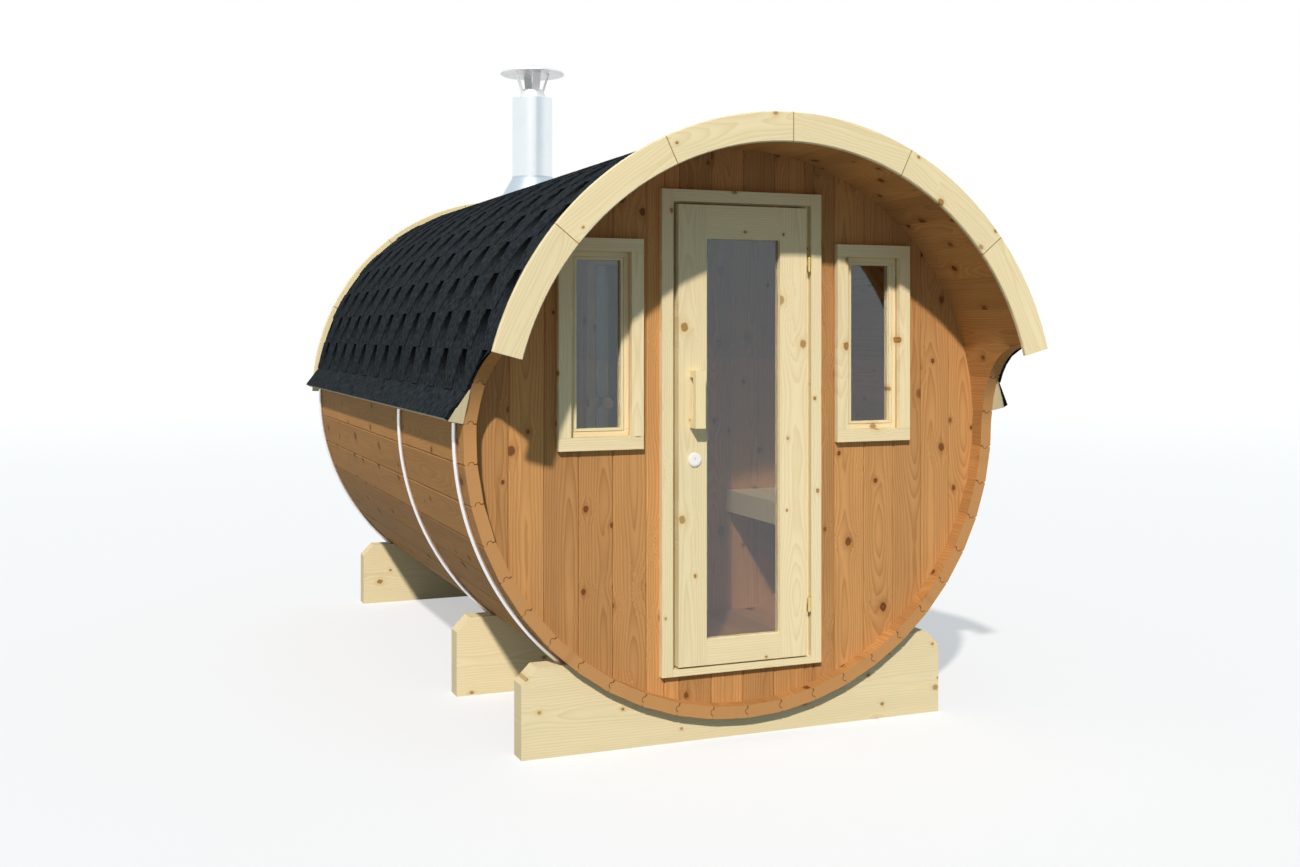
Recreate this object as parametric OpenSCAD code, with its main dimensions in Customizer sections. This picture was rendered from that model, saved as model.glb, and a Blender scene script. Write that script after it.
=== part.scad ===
// Barrel sauna: staves on three cradles, a shingled roof, a porch under an arch and two rooms.
// X runs to the right, Y to the rear and Z up, with the origin on the ground below the middle.

/* [Barrel] */
// Overall length, from the front arch to the rear arch
overall_l = 3300; // [2900:10:4200]
// Number of staves round the barrel, odd, with one centred on the ridge
stave_n = 47; // [43:2:53]
// Outer radius of the barrel at the joints between staves
barrel_r = 988; // [960:1:1010]
// Stave thickness
stave_t = 42; // [38:1:46]
// Radius of the bead that runs along one edge of a stave
bead_r = 9; // [6:0.5:11]
// Depth of the V groove between staves and between wall boards
groove_d = 4; // [2:0.5:6]
// Height of the lowest stave joint above the ground
ground_clear = 67; // [45:1:100]
// Gap between neighbouring boards or staves
seam = 0.4; // [0.2:0.1:1]
// Clearance between pieces that seat on each other
fit = 0.3; // [0.2:0.1:0.5]

/* [Porch] */
// Depth of the porch, from the front of the arch to the lower rim
porch_d = 330; // [300:5:420]
// Height of the canopy's lower edge above the barrel's axis
canopy_rise = 277; // [240:1:320]
// Radius of the scallop between the canopy and the lower rim
scallop_r = 306; // [240:1:306]
// Depth of the rim in front of the end walls
end_recess = 55; // [40:1:80]

/* [Arches] */
// How far the arch boards stand out over the barrel
arch_over = 30; // [24:1:52]
// Width of an arch board
arch_w = 95; // [80:1:110]
// Thickness of an arch board
arch_t = 18; // [14:1:24]
// Angle that one arch board spans
arch_board_a = 25.5; // [24:0.5:27]
// Boards in the front arch
front_arch_n = 6; // [4:2:6]
// Boards in the rear arch
rear_arch_n = 7; // [5:2:7]
// Angle of the front arch's ends above the barrel's axis
front_arch_end = 15; // [10:0.5:20]
// Angle of the rear arch's ends above the barrel's axis
rear_arch_end = 1; // [0:0.5:10]
// Chamfer along the edges of an arch board
arch_chamfer = 3; // [1:0.5:5]

/* [Cradles] */
// Width of a cradle
cradle_w = 1572; // [1450:2:1640]
// Thickness of a cradle
cradle_t = 80; // [60:1:100]
// Height of a cradle
cradle_h = 294; // [260:1:320]
// Chamfer on the upper corners of a cradle
cradle_chamfer = 52; // [30:1:70]
// Setback of the front cradle from the lower rim
cradle_front_in = 40; // [30:1:60]
// Setback of the rear cradle from the rear end of the staves
cradle_rear_in = 63; // [40:1:90]

/* [Hoops] */
// Diameter of the round steel of a hoop
hoop_d = 15; // [10:0.5:18]
// Room round a hoop in its groove in the cradle
hoop_play = 1; // [0.5:0.1:2]

/* [Walls] */
// Thickness of the end walls and the partition
wall_t = 42; // [34:1:50]
// Cover width of a wall board
board_w = 119; // [95:1:140]
// Offset of the board joints from the middle of the wall
board_shift = 10; // [0:1:40]
// Depth of the groove in the staves that holds an end wall
croze_d = 10; // [6:0.5:14]
// Depth of the front room, from wall to partition
front_room_d = 807; // [780:1:1000]

/* [Floor and bench] */
// Height of the floor's top above the ground
floor_top = 240; // [225:1:250]
// Thickness of the floor boards
floor_t = 28; // [20:1:40]
// Height of the bench top above the floor
bench_h = 490; // [400:1:520]
// Distance from the middle of the barrel to the front of the bench
bench_x = 340; // [335:1:420]
// Thickness of a bench board
bench_t = 28; // [20:1:40]
// Number of boards in the bench top
bench_n = 4; // [3:1:6]
// Gap between the boards of the bench top
bench_gap = 10; // [5:1:15]
// Height of the board along the front of the bench
bench_front_h = 85; // [60:1:140]

/* [Door] */
// Width of the door leaf
leaf_w = 483; // [440:1:490]
// Room between the top of the door leaf and the staves at the ridge
door_head = 195.3; // [190:0.1:400]
// Thickness of the door leaf
leaf_t = 40; // [36:1:42]
// Width of the leaf's stiles
stile_w = 103; // [90:1:120]
// Height of the leaf's top rail
top_rail_h = 113; // [90:1:140]
// Height of the leaf's bottom rail
bottom_rail_h = 86; // [70:1:160]
// Running gap round the leaf
leaf_gap = 6.5; // [6:0.5:8]
// Rise of the sill above the floor
sill_rise = 5; // [2:0.5:10]
// How far the leaf stands in front of the casing
leaf_proud = 2; // [0:0.5:3]
// Thickness of the glass in the door and windows
glass_t = 6; // [4:0.5:8]
// Depth of the groove that holds the glass
glass_in = 8; // [5:0.5:12]
// Width of the casing boards round the door
casing_w = 40; // [36:1:60]
// Thickness of the casing boards
casing_t = 22; // [18:1:26]
// Height of the sill board below the door
sill_h = 23; // [18:1:30]
// Width of the jamb that shows between leaf and casing
jamb_show = 13; // [12:1:16]
// Thickness of the jamb boards
jamb_t = 34; // [28:1:40]
// How far the door stop reaches over the leaf's edge
stop_w = 18; // [14:1:24]
// Gap between the casing's head and the top of the leaf
head_gap = 10; // [9:0.5:14]

/* [Door fittings] */
// Outer diameter of a hinge knuckle
knuckle_d = 12; // [11:0.5:13]
// Height of one half of a hinge
knuckle_h = 24; // [18:1:40]
// Diameter of a hinge pin
pin_d = 7; // [6:0.5:8]
// Radial clearance of a hinge pin
pin_play = 0.05; // [0.03:0.01:0.1]
// Diameter of the rod that fixes a hinge half in the wood
rod_d = 7; // [5:0.5:8]
// Distance of the hinge axis beyond the leaf's edge
hinge_side = 9; // [8:0.5:10]
// Distance of the hinge axis in front of the leaf
hinge_out = 2; // [1:0.5:4]
// Length of the rod that runs into the leaf
rod_l = 34; // [28:1:40]
// Depth of the hinge rod in the jamb
rod_in = 20; // [15:1:25]
// Height of the lower hinge above the foot of the leaf
hinge_low_in = 178.5; // [120:0.5:300]
// Distance of the upper hinge from the top of the leaf
hinge_high_in = 192.5; // [120:0.5:300]
// Length of the bar handle
handle_l = 193; // [160:1:300]
// Width of the bar handle
handle_w = 36; // [28:1:44]
// Thickness of the bar handle
handle_t = 22; // [16:1:30]
// Depth of the blocks behind the bar handle
handle_out = 30; // [25:1:45]
// Height of the blocks behind the bar handle
handle_block_h = 24; // [18:1:40]
// Distance of the handle from the middle of its stile
handle_shift = 6; // [0:0.5:12]
// Height of the middle of the handle above the ground
handle_z = 1150; // [1000:1:1200]
// Diameter of the lock rosette
rosette_d = 46; // [36:1:54]
// Height of the lock rosette above the ground
rosette_z = 946; // [800:1:960]

/* [Windows] */
// Width of a window over its casing
window_w = 296; // [260:1:310]
// Height of a window over its casing
window_h = 695; // [500:1:760]
// Gap between the casing of the door and that of a window
window_gap = 65; // [40:1:90]
// Room between the upper outer corner of a window and the staves
window_clear = 31.6; // [20:0.1:60]
// Width of the casing boards round a window
window_casing_w = 43; // [36:1:50]
// Width of the sash round the glass
sash_w = 27; // [24:1:40]
// Setback of the sash from the face of the wall
sash_in = 6; // [3:0.5:10]
// Setback of the glass from the face of the sash
sash_glass_in = 18; // [12:0.5:24]
// Width of the glazing bead inside the fine groove of the sash
sash_bead_w = 9; // [6:0.5:12]
// Width of the fine groove round the face of the sash
sash_line_w = 2; // [1:0.5:4]
// Depth of the fine groove round the face of the sash
sash_line_d = 4; // [1:0.5:6]

/* [Inner door] */
// Width of the inner doorway in the partition
inner_way_w = 522; // [500:1:560]
// Room between the inner doorway and the staves at the ridge
inner_head = 323.8; // [300:0.1:500]
// Width of the boards of the inner door frame
inner_frame_w = 35; // [30:1:45]
// Width of the stops in the inner door frame
inner_stop_w = 12; // [8:1:20]
// Thickness of the inner door's glass
inner_glass_t = 8; // [6:0.5:10]
// Setback of the inner door's glass from the face of the partition
inner_glass_in = 4; // [3:0.5:6]
// Distance of the inner hinges from the foot and the top of the glass
inner_hinge_in = 195; // [120:1:300]
// Diameter of the inner door's knobs
knob_d = 45; // [35:1:55]
// Height of the knobs above the floor
knob_h = 856; // [750:1:950]

/* [Roof] */
// Thickness of the shingles
shingle_t = 8; // [5:0.5:10]
// Thickness of the shingles at the eave
eave_t = 17; // [12:0.5:20]
// Height of the eave batten's wedge
batten_h = 50; // [35:1:60]
// Width of the eave batten's face on the stave
batten_w = 114; // [95:1:120]
// Height of the eave batten's thin edge
batten_edge = 1; // [0.5:0.5:3]
// How far the eave batten's face leans in at its top
batten_lean = 5; // [0:0.5:10]
// Lap of the eave band on the courses above it
eave_lap = 8; // [4:0.5:12]

/* [Chimney] */
// Diameter of the chimney pipe
pipe_d = 200; // [160:2:210]
// Wall of the chimney pipe
pipe_wall = 2; // [1.5:0.5:4]
// Distance from the back of the rear arch to the middle of the chimney
pipe_back = 498; // [400:1:900]
// Height of the pipe's top above the ridge
pipe_rise = 494.7; // [350:0.1:650]
// Length of the pipe below the staves
pipe_drop = 40; // [20:1:80]
// Room round the pipe in the roof
pipe_play = 4; // [2:0.5:8]
// Height of the flashing above the ridge
flashing_h = 102; // [70:1:140]
// Radius of the flashing's foot
flashing_r = 165; // [150:1:180]
// Height of the neck above the pipe
neck_h = 53; // [40:1:70]
// Diameter of the neck at its foot
neck_d = 136; // [120:1:150]
// Diameter of the neck at its mouth
mouth_d = 103; // [90:1:115]
// Diameter of the rain cap
cap_d = 320; // [260:2:360]
// Height of the rain cap's tip above the pipe
cap_rise = 169; // [140:1:200]
// Height of the rain cap's cone
cap_cone = 12; // [8:0.5:20]
// Width of the strips that carry the rain cap
strip_w = 40; // [30:1:50]
// Lean of the strips
strip_lean = 12; // [8:1:15]
// Lap of the strips on the neck
strip_lap = 12; // [8:0.5:20]

/* [Hidden] */
// Facets of small rounds, of large ones and of a round bar
$fn = 96;
large_fn = 360;
bar_fn = 32;
spruce = [0.90, 0.84, 0.68];
heat_treated = [0.74, 0.51, 0.31];
felt = [0.16, 0.18, 0.20];
steel = [0.88, 0.88, 0.89];
gold_brass = [0.84, 0.70, 0.38];
white_cap = [0.93, 0.93, 0.91];
tinted = [0.40, 0.41, 0.42, 0.6];

// Angles and radii of the stave ring
pitch_a = 360 / stave_n;
half_a = pitch_a / 2;
face_r = barrel_r * cos(half_a);
inner_r = face_r - stave_t;
stave_half = face_r * tan(half_a);
axis_h = ground_clear + barrel_r;
ridge_in = axis_h + inner_r;
arch_r = barrel_r + arch_over;

// Places along the barrel
front_y = -overall_l / 2;
rear_y = overall_l / 2;
canopy_y = front_y + arch_t;
rim_y = front_y + porch_d;
tail_y = rear_y - arch_t;
front_wall_y = rim_y + end_recess;
partition_y = front_wall_y + wall_t + front_room_d;
rear_wall_y = tail_y - end_recess - wall_t;
cradle_front_y = rim_y + cradle_front_in;
cradle_middle_y = partition_y + (wall_t - cradle_t) / 2;
cradle_rear_y = tail_y - cradle_rear_in - cradle_t;

// Number of the stave under the eave batten, counted from the ridge, and the angle of its lower joint
eave_k = floor(90 / pitch_a - 0.5);
eave_a = 90 - (eave_k + 0.5) * pitch_a;
hoop_r = barrel_r + fit + hoop_d / 2;

// Levels and edges of the doorway
leaf_z = floor_top + leaf_gap + sill_rise;
leaf_top = ridge_in - door_head;
leaf_y = front_wall_y - casing_t - leaf_proud;
way_x = leaf_w / 2 + leaf_gap;
casing_x = way_x + jamb_show;
rough_x = way_x + jamb_t;
jamb_top = leaf_top + leaf_gap;
casing_top = leaf_top + head_gap;
rough_top = jamb_top + jamb_t;
sill_top = leaf_z - leaf_gap;
sill_z = sill_top - sill_h;
stop_y = leaf_y + leaf_t + leaf_gap;
hinge_x = leaf_w / 2 + hinge_side;
hinge_y = leaf_y - hinge_out;
hinge_low = leaf_z + hinge_low_in;
hinge_high = leaf_top - hinge_high_in;
handle_x = -(leaf_w - stile_w) / 2 + handle_shift;

// Edges of the inner doorway
inner_x = inner_way_w / 2 - inner_frame_w;
inner_top = ridge_in - inner_head;
inner_leaf_x = inner_x - leaf_gap;
inner_glass_y = partition_y + inner_glass_in;
inner_leaf_z = floor_top + leaf_gap + sill_rise;
inner_leaf_top = inner_top - inner_frame_w - leaf_gap;
inner_hinge_x = inner_x - leaf_gap / 2;
inner_hinge_y = partition_y - knuckle_d / 2 - inner_glass_in;
inner_hinge_low = inner_leaf_z + inner_hinge_in;
inner_hinge_high = inner_leaf_top - inner_hinge_in;
inner_stop_y = inner_glass_y + inner_glass_t + 2 * leaf_gap;

// Middle of a window
window_x = casing_x + casing_w + window_gap + window_w / 2;
corner_x = window_x + window_w / 2;
window_z = axis_h + sqrt(pow(inner_r - window_clear, 2) - pow(corner_x, 2)) - window_h / 2;

// Roof and chimney
roof_in = barrel_r + fit;
roof_r = roof_in + shingle_t;
pipe_r = pipe_d / 2;
pipe_y = rear_y - pipe_back;
pipe_foot = ridge_in - pipe_drop;
pipe_top = axis_h + roof_r + pipe_rise;
flashing_top = axis_h + roof_r + flashing_h;
// Thickness of the sheet steel, and how far a shape runs into the one it joins
plate = 2.5;
overlap = 2;
far = 4 * barrel_r;

// Corners of a polygon with one flat side per stave, given the distance from axis to side
function ring(apothem) = [
  for (i = [0 : stave_n - 1])
    let (a = 90 + half_a + i * pitch_a)
    apothem / cos(half_a) * [cos(a), sin(a)]
];

// Half the width of a stave at a distance from the axis, less half a seam
function stave_x(r) = r * tan(half_a) - seam / 2 / cos(half_a);

// Carries a cross-section, drawn about the barrel's axis, from y0 to y1
module along(y0, y1) {
  translate([0, y1, axis_h]) rotate([90, 0, 0]) linear_extrude(height = y1 - y0) children();
}

// A box between two corners
module block(low, high) {
  translate(low) cube(high - low);
}

// Cross-section of a stave: V grooves outside, a bead on one edge and its cove on the other
module stave_profile() {
  mid_r = (face_r + inner_r) / 2 / cos(half_a);
  bead = mid_r * [sin(half_a), cos(half_a)];
  low_r = face_r - groove_d;
  difference() {
    union() {
      polygon([
        [-stave_x(face_r) + groove_d, face_r], [stave_x(face_r) - groove_d, face_r],
        [stave_x(low_r), low_r], [stave_x(inner_r), inner_r],
        [-stave_x(inner_r), inner_r], [-stave_x(low_r), low_r]
      ]);
      translate(bead) circle(bead_r);
    }
    translate([-bead[0], bead[1]]) circle(bead_r + seam);
  }
}

// The space of the porch below the canopy, its corner rounded into a scallop
module porch_space(grow = 0) {
  y = rim_y - scallop_r;
  z = axis_h + canopy_rise - scallop_r;
  translate([-far / 2, 0, 0]) rotate([90, 0, 90]) linear_extrude(height = far) {
    translate([front_y - far, z - far]) square([far + rim_y - front_y + grow, far]);
    translate([front_y - far, z - 1]) square([far + y - front_y, scallop_r + 1 + grow]);
    translate([y, z]) circle(scallop_r + grow);
  }
}

// One stave, counted from the ridge to the right, with the grooves for the end walls
module stave(k) {
  steps = abs(k);
  high = barrel_r * cos((steps - 0.5) * pitch_a) + bead_r;
  low = inner_r * cos((steps + 0.5) * pitch_a) - bead_r;
  below = high < canopy_rise - scallop_r;
  above = low > canopy_rise;
  from_y = below ? rim_y : canopy_y;
  near_pipe = (steps - 1) * 2 * stave_half < pipe_d;
  difference() {
    along(from_y, tail_y) rotate(-k * pitch_a) stave_profile();
    for (y = [front_wall_y, rear_wall_y])
      along(y - fit, y + wall_t + fit)
        rotate(-k * pitch_a)
          translate([-2 * stave_half, inner_r - croze_d]) square([4 * stave_half, 2 * croze_d]);
    if (!below && !above) porch_space();
    if (near_pipe) pipe_hole();
  }
}

// Way of the chimney through the roof
module pipe_hole() {
  translate([0, pipe_y, axis_h]) cylinder(h = far, r = pipe_r + pipe_play);
}

module staves(first, last) {
  color(heat_treated) for (k = [first : last]) stave(k);
}

// Counts of staves in the groups on one side, from the ridge down
ridge_k = 3;
upper_k = ridge_k + 5;
side_k = upper_k + 6;
lower_k = side_k + 6;

module staves_ridge() { staves(-ridge_k, ridge_k); }
module staves_upper_right() { staves(ridge_k + 1, upper_k); }
module staves_upper_left() { staves(-upper_k, -ridge_k - 1); }
module staves_side_right() { staves(upper_k + 1, side_k); }
module staves_side_left() { staves(-side_k, -upper_k - 1); }
module staves_lower_right() { staves(side_k + 1, lower_k); }
module staves_lower_left() { staves(-lower_k, -side_k - 1); }
module staves_floor() { staves(lower_k + 1, stave_n - lower_k - 1); }

// A half ring of round bar below the barrel's axis, with both ends carried up by an angle
module hoop_ring(y, d, over_a = 0) {
  translate([0, y, axis_h]) rotate([90, 0, 0]) rotate(180 - over_a)
    rotate_extrude(angle = 180 + 2 * over_a, $fn = large_fn)
      translate([hoop_r, 0]) circle(d = d, $fn = bar_fn);
}

// The hoops end just below the eave battens
module hoops() {
  end_gap = 1.4;
  over_a = eave_a - atan(end_gap / hoop_r);
  color(steel)
    for (y = [cradle_front_y, cradle_middle_y, cradle_rear_y])
      hoop_ring(y + cradle_t / 2, hoop_d, over_a);
}

// A cradle: a plank on edge, hollowed to the staves, with a groove for the hoop
module cradle(y) {
  half = cradle_w / 2;
  shoulder = cradle_h - cradle_chamfer;
  color(spruce)
    difference() {
      translate([0, y + cradle_t, 0]) rotate([90, 0, 0]) linear_extrude(height = cradle_t)
        difference() {
          polygon([
            [-half, 0], [half, 0], [half, shoulder], [half - cradle_chamfer, cradle_h],
            [-half + cradle_chamfer, cradle_h], [-half, shoulder]
          ]);
          translate([0, axis_h]) polygon(ring(face_r + fit));
        }
      hoop_ring(y + cradle_t / 2, hoop_d + 2 * hoop_play);
    }
}

module cradle_front() { cradle(cradle_front_y); }
module cradle_middle() { cradle(cradle_middle_y); }
module cradle_rear() { cradle(cradle_rear_y); }

// Vertical boards that fill the barrel between two sides and two levels, less a window
module board_wall(apothem, y, x0, x1, z0, z1, window = 0) {
  first = floor((x0 - board_shift) / board_w);
  last = ceil((x1 - board_shift) / board_w) - 1;
  hole_w = window_w - 2 * window_casing_w + 2 * fit;
  hole_h = window_h - 2 * window_casing_w + 2 * fit;
  color(heat_treated)
    for (i = [first : last]) {
      low = max(x0, board_shift + i * board_w + seam / 2);
      high = min(x1, board_shift + (i + 1) * board_w - seam / 2);
      if (high - low > 2 * groove_d)
        difference() {
          along(y, y + wall_t)
            difference() {
              intersection() {
                polygon(ring(apothem));
                translate([low, z0 - axis_h]) square([high - low, z1 - z0]);
              }
              if (window != 0)
                translate([window * window_x - hole_w / 2, window_z - hole_h / 2 - axis_h])
                  square([hole_w, hole_h]);
            }
          for (x = [low, high], face_y = [y, y + wall_t])
            translate([x, face_y, 0]) rotate(45)
              cube([groove_d * sqrt(2), groove_d * sqrt(2), 2 * far], center = true);
        }
    }
}

wall_r = inner_r + croze_d - 2 * fit;

module front_wall_left() {
  board_wall(wall_r, front_wall_y, -far, -rough_x - fit, 0, far, -1);
}
module front_wall_right() {
  board_wall(wall_r, front_wall_y, rough_x + fit, far, 0, far, 1);
}
module front_wall_middle() {
  side = rough_x + fit - seam;
  board_wall(wall_r, front_wall_y, -side, side, rough_top + fit, far);
  board_wall(wall_r, front_wall_y, -side, side, 0, sill_z - fit);
}
module rear_wall() {
  board_wall(wall_r, rear_wall_y, -far, far, 0, far);
}

partition_r = inner_r - fit;
inner_side = inner_way_w / 2 + fit;

module partition_left() {
  board_wall(partition_r, partition_y, -far, -inner_side, floor_top + fit, far);
}
module partition_right() {
  board_wall(partition_r, partition_y, inner_side, far, floor_top + fit, far);
}
module partition_head() {
  side = inner_side - seam;
  board_wall(partition_r, partition_y, -side, side, inner_top + fit, far);
}

// Frame of the inner doorway with its stops and a small catch block
module inner_door_frame() {
  half = inner_way_w / 2;
  back_y = partition_y + wall_t;
  stop_x = inner_x - inner_stop_w;
  catch = [24, 18, 28];
  catch_in = 2;
  color(spruce) difference() {
    union() {
      for (s = [-1, 1]) {
        side = s > 0 ? inner_x : -half;
        block([side, partition_y, floor_top + fit], [side + inner_frame_w, back_y, inner_top]);
        stop = s > 0 ? stop_x + fit : -inner_x + fit;
        block([stop, inner_stop_y, floor_top + fit],
              [stop + inner_stop_w - 2 * fit, back_y, inner_top - inner_frame_w - fit]);
      }
      block([-inner_x + fit, partition_y, inner_top - inner_frame_w],
            [inner_x - fit, back_y, inner_top]);
      translate([-half + catch_in, partition_y - catch[1] - fit, floor_top + knob_h - catch[2] / 2])
        cube(catch);
    }
    for (z = [inner_hinge_low, inner_hinge_high])
      inner_frame_rod(z, rod_d + 2 * fit);
  }
}

// Floor of the two rooms, resting on the staves at both sides
module floor_boards() {
  drop = axis_h - floor_top + floor_t;
  half = sqrt(pow(inner_r - fit, 2) - pow(drop, 2));
  rooms = [
    [front_wall_y + wall_t + fit, partition_y + wall_t / 2 - seam],
    [partition_y + wall_t / 2 + seam, rear_wall_y - fit]
  ];
  color(heat_treated)
    for (room = rooms)
      block([-half, room[0], floor_top - floor_t], [half, room[1], floor_top]);
}

// Bench of the front room, with boards from wall to wall
bench_top_z = floor_top + bench_h;
bench_y0 = front_wall_y + wall_t + fit;
bench_y1 = partition_y - fit;

module bench_top() {
  drop = axis_h - bench_top_z + bench_t;
  outer = sqrt(pow(inner_r - fit, 2) - pow(drop, 2));
  wide = (outer - bench_x - (bench_n - 1) * bench_gap) / bench_n;
  color(spruce)
    for (i = [0 : bench_n - 1]) {
      x = bench_x + i * (wide + bench_gap);
      block([x, bench_y0, bench_top_z - bench_t], [x + wide, bench_y1, bench_top_z]);
    }
}
module bench_front() {
  top = bench_top_z - bench_t - fit;
  color(spruce)
    block([bench_x, bench_y0, top - bench_front_h + bench_t], [bench_x + bench_t, bench_y1, top]);
}

// Boards of an arch, each a sector with chamfered edges, the end boards cut short at an angle
module arch(y, count, end_a) {
  c = arch_chamfer;
  gap_a = seam / arch_r * 180 / PI;
  first_a = 90 - count * arch_board_a / 2;
  color(spruce)
    translate([0, y + arch_t, axis_h]) rotate([90, 0, 0])
      for (i = [0 : count - 1]) {
        from_a = max(end_a, first_a + i * arch_board_a + gap_a / 2);
        to_a = min(180 - end_a, first_a + (i + 1) * arch_board_a - gap_a / 2);
        rotate(from_a)
          rotate_extrude(angle = to_a - from_a, $fn = large_fn)
            translate([arch_r - arch_w, 0])
              polygon([
                [c, 0], [arch_w - c, 0], [arch_w, c], [arch_w, arch_t - c],
                [arch_w - c, arch_t], [c, arch_t], [0, arch_t - c], [0, c]
              ]);
      }
}

module front_arch() { arch(front_y, front_arch_n, front_arch_end); }
module rear_arch() { arch(tail_y, rear_arch_n, rear_arch_end); }

// Wedge under the eave, drawn on the stave that carries it
module batten_profile(grow = 0) {
  foot = face_r + fit;
  rotate(-eave_k * pitch_a)
    polygon([
      [stave_half + grow, foot - grow], [stave_half - batten_lean + grow, foot + batten_h + grow],
      [stave_half - batten_w - grow, foot + batten_edge + grow], [stave_half - batten_w - grow, foot - grow]
    ]);
}

module eave_batten() {
  color(spruce) along(rim_y, tail_y) batten_profile();
}
module eave_batten_right() { eave_batten(); }
module eave_batten_left() { mirror([1, 0, 0]) eave_batten(); }

// Shingles of the right half: a skin over the staves that kicks out over the eave batten
module shingle_profile() {
  start_a = 90 - eave_k * pitch_a + asin((batten_w - stave_half + eave_lap - overlap) / roof_in);
  corner = [stave_half - batten_lean, face_r + fit + batten_h];
  tip = [stave_half - batten_w, face_r + fit + batten_edge];
  slope = (corner - tip) / norm(corner - tip);
  out = [-slope[1], slope[0]];
  join = stave_half - batten_w - eave_lap;
  difference() {
    union() {
      intersection() {
        difference() {
          circle(roof_r);
          circle(roof_in);
        }
        polygon([
          [seam / 2, 0], far * [cos(start_a), sin(start_a)], [far, far], [seam / 2, far]
        ]);
      }
      rotate(-eave_k * pitch_a)
        polygon([
          [join, sqrt(pow(roof_in, 2) - pow(join, 2))], tip, corner, corner + eave_t * out,
          [join, sqrt(pow(roof_r, 2) - pow(join, 2))]
        ]);
    }
    batten_profile(fit);
  }
}

module shingles() {
  color(felt)
    difference() {
      along(canopy_y + fit, tail_y - fit) shingle_profile();
      porch_space();
      pipe_hole();
    }
}
module shingles_right() { shingles(); }
module shingles_left() { mirror([1, 0, 0]) shingles(); }

// Steel pipe through the roof, its flashing and the cap
module chimney_pipe() {
  color(steel)
    translate([0, pipe_y, pipe_foot])
      difference() {
        cylinder(h = pipe_top - pipe_foot, r = pipe_r);
        translate([0, 0, -overlap])
          cylinder(h = pipe_top - pipe_foot + 2 * overlap, r = pipe_r - pipe_wall);
      }
}

module chimney_flashing() {
  top_r = pipe_r + fit;
  lip = 10;
  foot_z = axis_h + sqrt(pow(roof_r, 2) - pow(flashing_r, 2)) - overlap;
  color(steel)
    difference() {
      translate([0, pipe_y, 0])
        rotate_extrude()
          polygon([
            [top_r, flashing_top], [top_r, flashing_top - lip - overlap], [flashing_r - plate, foot_z],
            [flashing_r, foot_z], [top_r + plate, flashing_top - lip], [top_r + plate, flashing_top]
          ]);
      translate([0, pipe_y + far / 2, axis_h]) rotate([90, 0, 0])
        cylinder(h = far, r = roof_r + fit, $fn = large_fn);
    }
}

module rain_cap() {
  foot_r = neck_d / 2;
  mouth_r = mouth_d / 2;
  strip_z = neck_h - strip_lap;
  strip_top = cap_rise - cap_cone / 2 - plate / 2;
  strip_l = (strip_top - strip_z) / cos(strip_lean);
  color(steel)
    translate([0, pipe_y, pipe_top]) {
      rotate_extrude()
        polygon([
          [pipe_r, 0], [pipe_r, plate], [foot_r, plate], [mouth_r, neck_h],
          [mouth_r - plate, neck_h], [foot_r - plate, 0]
        ]);
      rotate_extrude()
        polygon([
          [0, cap_rise], [cap_d / 2, cap_rise - cap_cone], [cap_d / 2, cap_rise - cap_cone - plate],
          [0, cap_rise - plate]
        ]);
      for (i = [0 : 3])
        rotate(45 + i * 90)
          translate([mouth_r, 0, strip_z])
            rotate([0, strip_lean, 0])
              translate([-plate, -strip_w / 2, 0]) cube([plate, strip_w, strip_l]);
    }
}

// Four boards round an opening, the head and the foot running through
module surround(w, h, bw, y0, y1, x, z) {
  for (s = [-1, 1]) {
    block([x - w / 2, y0, z + s * (h - bw) / 2 - bw / 2], [x + w / 2, y1, z + s * (h - bw) / 2 + bw / 2]);
    block([x + s * (w - bw) / 2 - bw / 2, y0, z - h / 2 + bw + seam],
          [x + s * (w - bw) / 2 + bw / 2, y1, z + h / 2 - bw - seam]);
  }
}

// A window: casing on the wall, sash in the wall, glass in the sash
module window_casing(side) {
  color(spruce)
    surround(window_w, window_h, window_casing_w, front_wall_y - casing_t, front_wall_y,
             side * window_x, window_z);
}

glass_y = front_wall_y + sash_in + sash_glass_in;

module window_sash(side) {
  w = window_w - 2 * window_casing_w;
  h = window_h - 2 * window_casing_w;
  line = sash_w - sash_bead_w;
  x = side * window_x;
  color(spruce)
    difference() {
      surround(w, h, sash_w, front_wall_y + sash_in, front_wall_y + wall_t, x, window_z);
      window_pane(side, fit);
      translate([x, front_wall_y + sash_in, window_z])
        difference() {
          cube([w - 2 * line + sash_line_w, 2 * sash_line_d, h - 2 * line + sash_line_w], center = true);
          cube([w - 2 * line - sash_line_w, 4 * sash_line_d, h - 2 * line - sash_line_w], center = true);
        }
    }
}

module window_pane(side, grow = 0) {
  w = window_w - 2 * window_casing_w - 2 * sash_w + 2 * glass_in + 2 * grow;
  h = window_h - 2 * window_casing_w - 2 * sash_w + 2 * glass_in + 2 * grow;
  translate([side * window_x, glass_y, window_z]) cube([w, glass_t + 2 * grow, h], center = true);
}

module window_left_casing() { window_casing(-1); }
module window_left_sash() { window_sash(-1); }
module window_left_glass() { color(tinted) window_pane(-1); }
module window_right_casing() { window_casing(1); }
module window_right_sash() { window_sash(1); }
module window_right_glass() { color(tinted) window_pane(1); }

// Casing boards round the doorway, with the sill board below
module door_casing() {
  y0 = front_wall_y - casing_t;
  outer = casing_x + casing_w;
  color(spruce) {
    for (s = [-1, 1]) {
      x = s > 0 ? casing_x : -outer;
      block([x, y0, sill_z], [x + casing_w, front_wall_y, casing_top + casing_w]);
    }
    block([-casing_x + seam, y0, casing_top], [casing_x - seam, front_wall_y, casing_top + casing_w]);
    block([-casing_x + seam, y0, sill_z], [casing_x - seam, front_wall_y, sill_top]);
  }
}

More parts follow.
